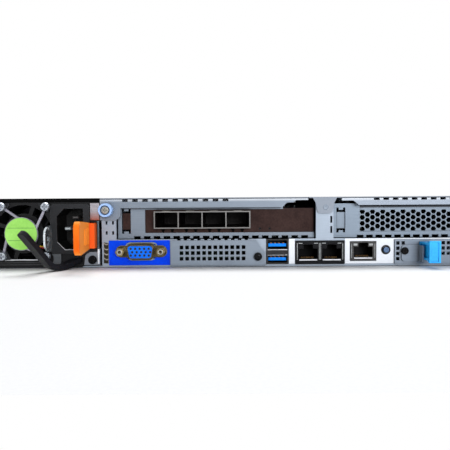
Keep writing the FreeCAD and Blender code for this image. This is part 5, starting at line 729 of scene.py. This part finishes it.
def screw_heads():
    """Heads with recesses on the thumbscrews, the blanking plate and the pull arm."""
    low, high = span("riser_thumbscrews")
    knob_radius = 4.2
    steel = bmesh.new()
    for x in (low[0] + knob_radius, high[0] - knob_radius):
        screw(steel, x, middle("riser_thumbscrews", 2), low[1] + 0.62, radius=2.3, height=0.6, recess=0.5)
    piece("thumbscrew_heads", steel, "chassis", "finger_steel")
    face = span("panel_screw")[0][1]
    profile = [(0.35, -0.2), (0.5, -0.55), (0.9, -0.6), (1.5, -0.45), (2.0, -0.15), (2.3, 0.1), (1.5, 0.1)]
    dome = bmesh.new()
    turned(dome, middle("panel_screw", 0), middle("panel_screw", 2), [(radius, face + y) for radius, y in profile])
    piece("panel_screw_head", dome, "chassis", "black_screw")
    arm = bmesh.new()
    screw(arm, 120.9, 9.3, REAR - 2.0, radius=2.3, height=1.2, recess=0.6)
    piece("arm_screw", arm, "module", "black_screw")


def tongue_dimple():
    """The round emboss on the cover's rear tongue."""
    face = span("top_cover")[0][1]
    profile = [(0.7, -0.02), (1.1, -0.1), (1.5, -0.08), (1.75, 0.0), (1.75, 0.1), (0.7, 0.1)]
    dimple = bmesh.new()
    turned(dimple, 72.2, 36.6, [(radius, face + y) for radius, y in profile])
    piece("tongue_dimple", dimple, "cover", "zinc")


def cage_details():
    """The bright spring tabs on the upper edge of each optical port, and the black lenses below it."""
    low, high = span("sfp_cage")
    wall = 0.7
    pitch = (high[0] - low[0] - wall) / 4
    centres = [low[0] + wall / 2 + (index + 0.5) * pitch for index in range(4)]
    run = ((low[1] + 6.0, high[2]), (low[1] + 2.5, high[2] + 0.3), (low[1] + 0.3, high[2] + 0.15),
           (low[1] - 0.2, high[2] - 0.15))
    half, thick = 2.4, 0.15
    springs = bmesh.new()
    for x in centres:
        skin(springs, [[(x - half, y, z), (x + half, y, z), (x + half, y, z + thick), (x - half, y, z + thick)]
                       for y, z in run])
    piece("cage_springs", springs, "chassis", "finger_steel")
    face = span("network_card_bracket")[0][1]
    top, tip = low[2] - 0.45, low[2] - 2.8
    lenses = bmesh.new()
    for x in centres:
        for lens_x in (x - 2.92, x + 2.92):
            outline = [(lens_x - 1.35, top), (lens_x - 0.3, tip), (lens_x + 0.3, tip), (lens_x + 1.35, top)]
            prism(lenses, outline, face - 0.2, face + 0.6)
    piece("port_lenses", lenses, "chassis", "black_foam", 0.1)


def shield_springs():
    """The four curved fingers of the shield beside the power supply bay, and a dark plate behind them that paints
    the shade between the fingers.
    """
    sag = [(-65.4, 0.75), (-64.95, 0.1), (-64.2, -0.3), (-63.4, -0.35), (-62.75, -0.1)]
    first, pitch, width = 4.8, 3.13, 0.75
    fingers = bmesh.new()
    for step in range(4):
        z = first + pitch * step
        lower = [(x, z + rise) for x, rise in sag]
        upper = [(x, z + rise + width) for x, rise in reversed(sag)]
        prism(fingers, lower + upper, REAR - 0.5, REAR - 0.1)
    piece("shield_springs", fingers, "chassis", "finger_steel", 0.1)
    gap_shade = bmesh.new()
    prism(gap_shade, [(-65.6, 2.6), (-62.7, 2.3), (-62.5, 14.9), (-65.4, 15.6)], REAR - 0.12, REAR)
    piece("spring_gap_shade", gap_shade, "chassis", "shield_shade")


def slit_shade_sheet():
    """A dark fold behind the slit above the slot filler, which paints the shadow that the strip above casts there.
    """
    low, high = span("slot_filler")
    front, back = low[1] + 0.1, high[1]
    foot, bend, top = high[2] - 0.2, high[2] + 0.5, high[2] + 2.2
    section = [(front, foot), (back, foot), (back, top), (low[1] + 0.6, top), (front, bend)]
    shade_sheet = bmesh.new()
    fold(shade_sheet, section, low[0] + 12.5, high[0])
    piece("slit_shade_sheet", shade_sheet, "chassis", "shade_steel")


# Sides and top

STUD_PROFILE = [(1.6, 0.0), (2.3, 0.0), (2.3, -1.7), (4.0, -1.9), (4.1, -2.6), (3.7, -2.95), (1.4, -2.95),
                (1.2, -2.4)]
STUD_HEIGHT = 21.5
STUD_PLACES = (-318.0, -140.0, 70.0, 236.0)
EAR_SHEET = 2.0
EAR_SCREWS = ((327.0, 10.0), (327.0, 33.0), (349.0, 10.0), (349.0, 33.0))
COVER_SCREWS = (-203.0, -68.0, 68.0, 203.0)
COVER_SCREW_INSET = 9.0


def side_fasteners():
    """The shoulder studs of the rack rails, and the screws of the ears and of the front cover."""
    side_x = span("chassis_tray")[1][0]
    studs = bmesh.new()
    heads = bmesh.new()

    def stud():
        turned(studs, 0.0, 0.0, STUD_PROFILE, 28)

    def ear_screw():
        screw(heads, 0.0, 0.0, 0.0, radius=2.7, height=0.9, recess=0.5)

    def cover_screw():
        screw(heads, 0.0, 0.0, 0.0, radius=2.6, height=0.6, recess=0.4)

    for side in (-1, 1):
        outward = (side, 0.0, 0.0)
        for y in STUD_PLACES:
            moved(studs, stud, facing((side * side_x, y, STUD_HEIGHT), outward))
        for y, z in EAR_SCREWS:
            moved(heads, ear_screw, facing((side * (side_x + EAR_SHEET), y, z), outward))
    low, high = span("front_bay_cover")
    for x in COVER_SCREWS:
        moved(heads, cover_screw, facing((x, low[1] + COVER_SCREW_INSET, high[2]), (0.0, 0.0, 1.0)))
    piece("rail_studs", studs, "chassis", "plated")
    piece("frame_screws", heads, "chassis", "plated")


fan_disc()
guard_screws()
fan_leads()
inlet_foot()
case_corner()
latch_surround()
fan_sill()
inlet_edge_highlight()
video_film()
panel_films()
video_contacts()
jack_details()
screw_heads()
tongue_dimple()
cage_details()
shield_springs()
slit_shade_sheet()
side_fasteners()


# Stage, light and camera in metres

FLOOR_HALF = 4.0
FLOOR_DROP = 0.0002  # keeps the floor just clear of the base
FADE_START = 0.6
FADE_END = 2.0
BACKDROP_GLOW = 0.95
ROOM_LIGHT = 0.26


def shown(tree):
    """One for what the camera, a gloss or a glass sees, and zero for the light that falls on the object."""
    ways = tree.nodes.new("ShaderNodeLightPath").outputs
    total = ways["Is Camera Ray"]
    for name in ("Is Glossy Ray", "Is Transmission Ray"):
        total = calculated(tree, "ADD", total, ways[name], clamp=True)
    return total


def floor():
    """A plain pale floor with a faint grain, which runs out into a white backdrop far from the server."""
    bm = bmesh.new()
    bmesh.ops.create_grid(bm, x_segments=8, y_segments=8, size=FLOOR_HALF)
    mesh = bpy.data.meshes.new("floor")
    bm.to_mesh(mesh)
    bm.free()
    # the default crevice setting also paints shade on the floor close around the base
    paint = finish("floor_paint", dark=(0.9, 0.9, 0.9), light=(0.94, 0.94, 0.94), rough=0.8, spot=3.0, bump=0.02,
                   specular=0.1)
    tree = paint.node_tree
    place = tree.nodes.new("ShaderNodeTexCoord").outputs["Object"]
    length = tree.nodes.new("ShaderNodeVectorMath")
    length.operation = "LENGTH"
    linked(tree, place, length.inputs[0])
    far = ranged(tree, length.outputs["Value"], FADE_START, FADE_END, 0.0, BACKDROP_GLOW)
    shader = tree.nodes["Principled BSDF"]
    shader.inputs["Emission Color"].default_value = (1.0, 1.0, 1.0, 1.0)
    linked(tree, calculated(tree, "MULTIPLY", far, shown(tree)), shader.inputs["Emission Strength"])
    mesh.materials.append(paint)
    made = bpy.data.objects.new("floor", mesh)
    made.location.z = -FLOOR_DROP
    scene.collection.objects.link(made)


def studio_world():
    """White to the camera and in reflections, and a soft grey room as light."""
    world = bpy.data.worlds.new("studio")
    world.use_nodes = True
    scene.world = world
    tree = world.node_tree
    tree.nodes.clear()
    seen = value_node(tree, "ShaderNodeBackground", Color=(1.0, 1.0, 1.0, 1.0), Strength=1.0)
    room = value_node(tree, "ShaderNodeBackground", Color=(0.92, 0.95, 1.0, 1.0), Strength=ROOM_LIGHT)
    mix = tree.nodes.new("ShaderNodeMixShader")
    for socket, source in zip(mix.inputs, (shown(tree), room.outputs[0], seen.outputs[0])):
        linked(tree, source, socket)
    out = tree.nodes.new("ShaderNodeOutputWorld")
    linked(tree, mix.outputs[0], out.inputs["Surface"])


def area_light(name, place, target, size, power, colour=(1.0, 1.0, 1.0)):
    """A rectangular lamp that looks at a point."""
    lamp = bpy.data.lights.new(name, "AREA")
    lamp.shape = "RECTANGLE"
    lamp.size, lamp.size_y = size
    lamp.energy = power
    lamp.color = colour
    made = bpy.data.objects.new(name, lamp)
    made.location = place
    made.rotation_euler = (Vector(target) - Vector(place)).to_track_quat("-Z", "Y").to_euler()
    scene.collection.objects.link(made)


def camera():
    """The camera of the photograph: close behind the rear face, a little above the floor and slightly turned."""
    place = (0.0099, -0.660, 0.039)
    pitch = math.radians(2.5)
    roll = math.radians(-0.37)
    lens = bpy.data.cameras.new("camera")
    lens.sensor_width = 36.0
    lens.lens = 38.72
    made = bpy.data.objects.new("camera", lens)
    ahead = Vector((0.0, math.cos(pitch), -math.sin(pitch)))
    level = Vector((1.0, 0.0, 0.0))
    upright = level.cross(ahead)
    right = level * math.cos(roll) + upright * math.sin(roll)
    above = upright * math.cos(roll) - level * math.sin(roll)
    turn = Matrix((right, above, -ahead)).transposed()
    made.matrix_world = Matrix.Translation(place) @ turn.to_4x4()
    scene.collection.objects.link(made)
    scene.camera = made


floor()
studio_world()
area_light("key", place=(0.1, 0.2, 1.7), target=(0.0, -0.36, 0.0), size=(1.6, 0.7), power=29.0)
area_light("front", place=(0.55, -2.3, 0.42), target=(0.0, -0.36, 0.02), size=(0.9, 0.5), power=26.0,
           colour=(0.95, 0.97, 1.0))
camera()
scene.view_settings.view_transform = "Standard"
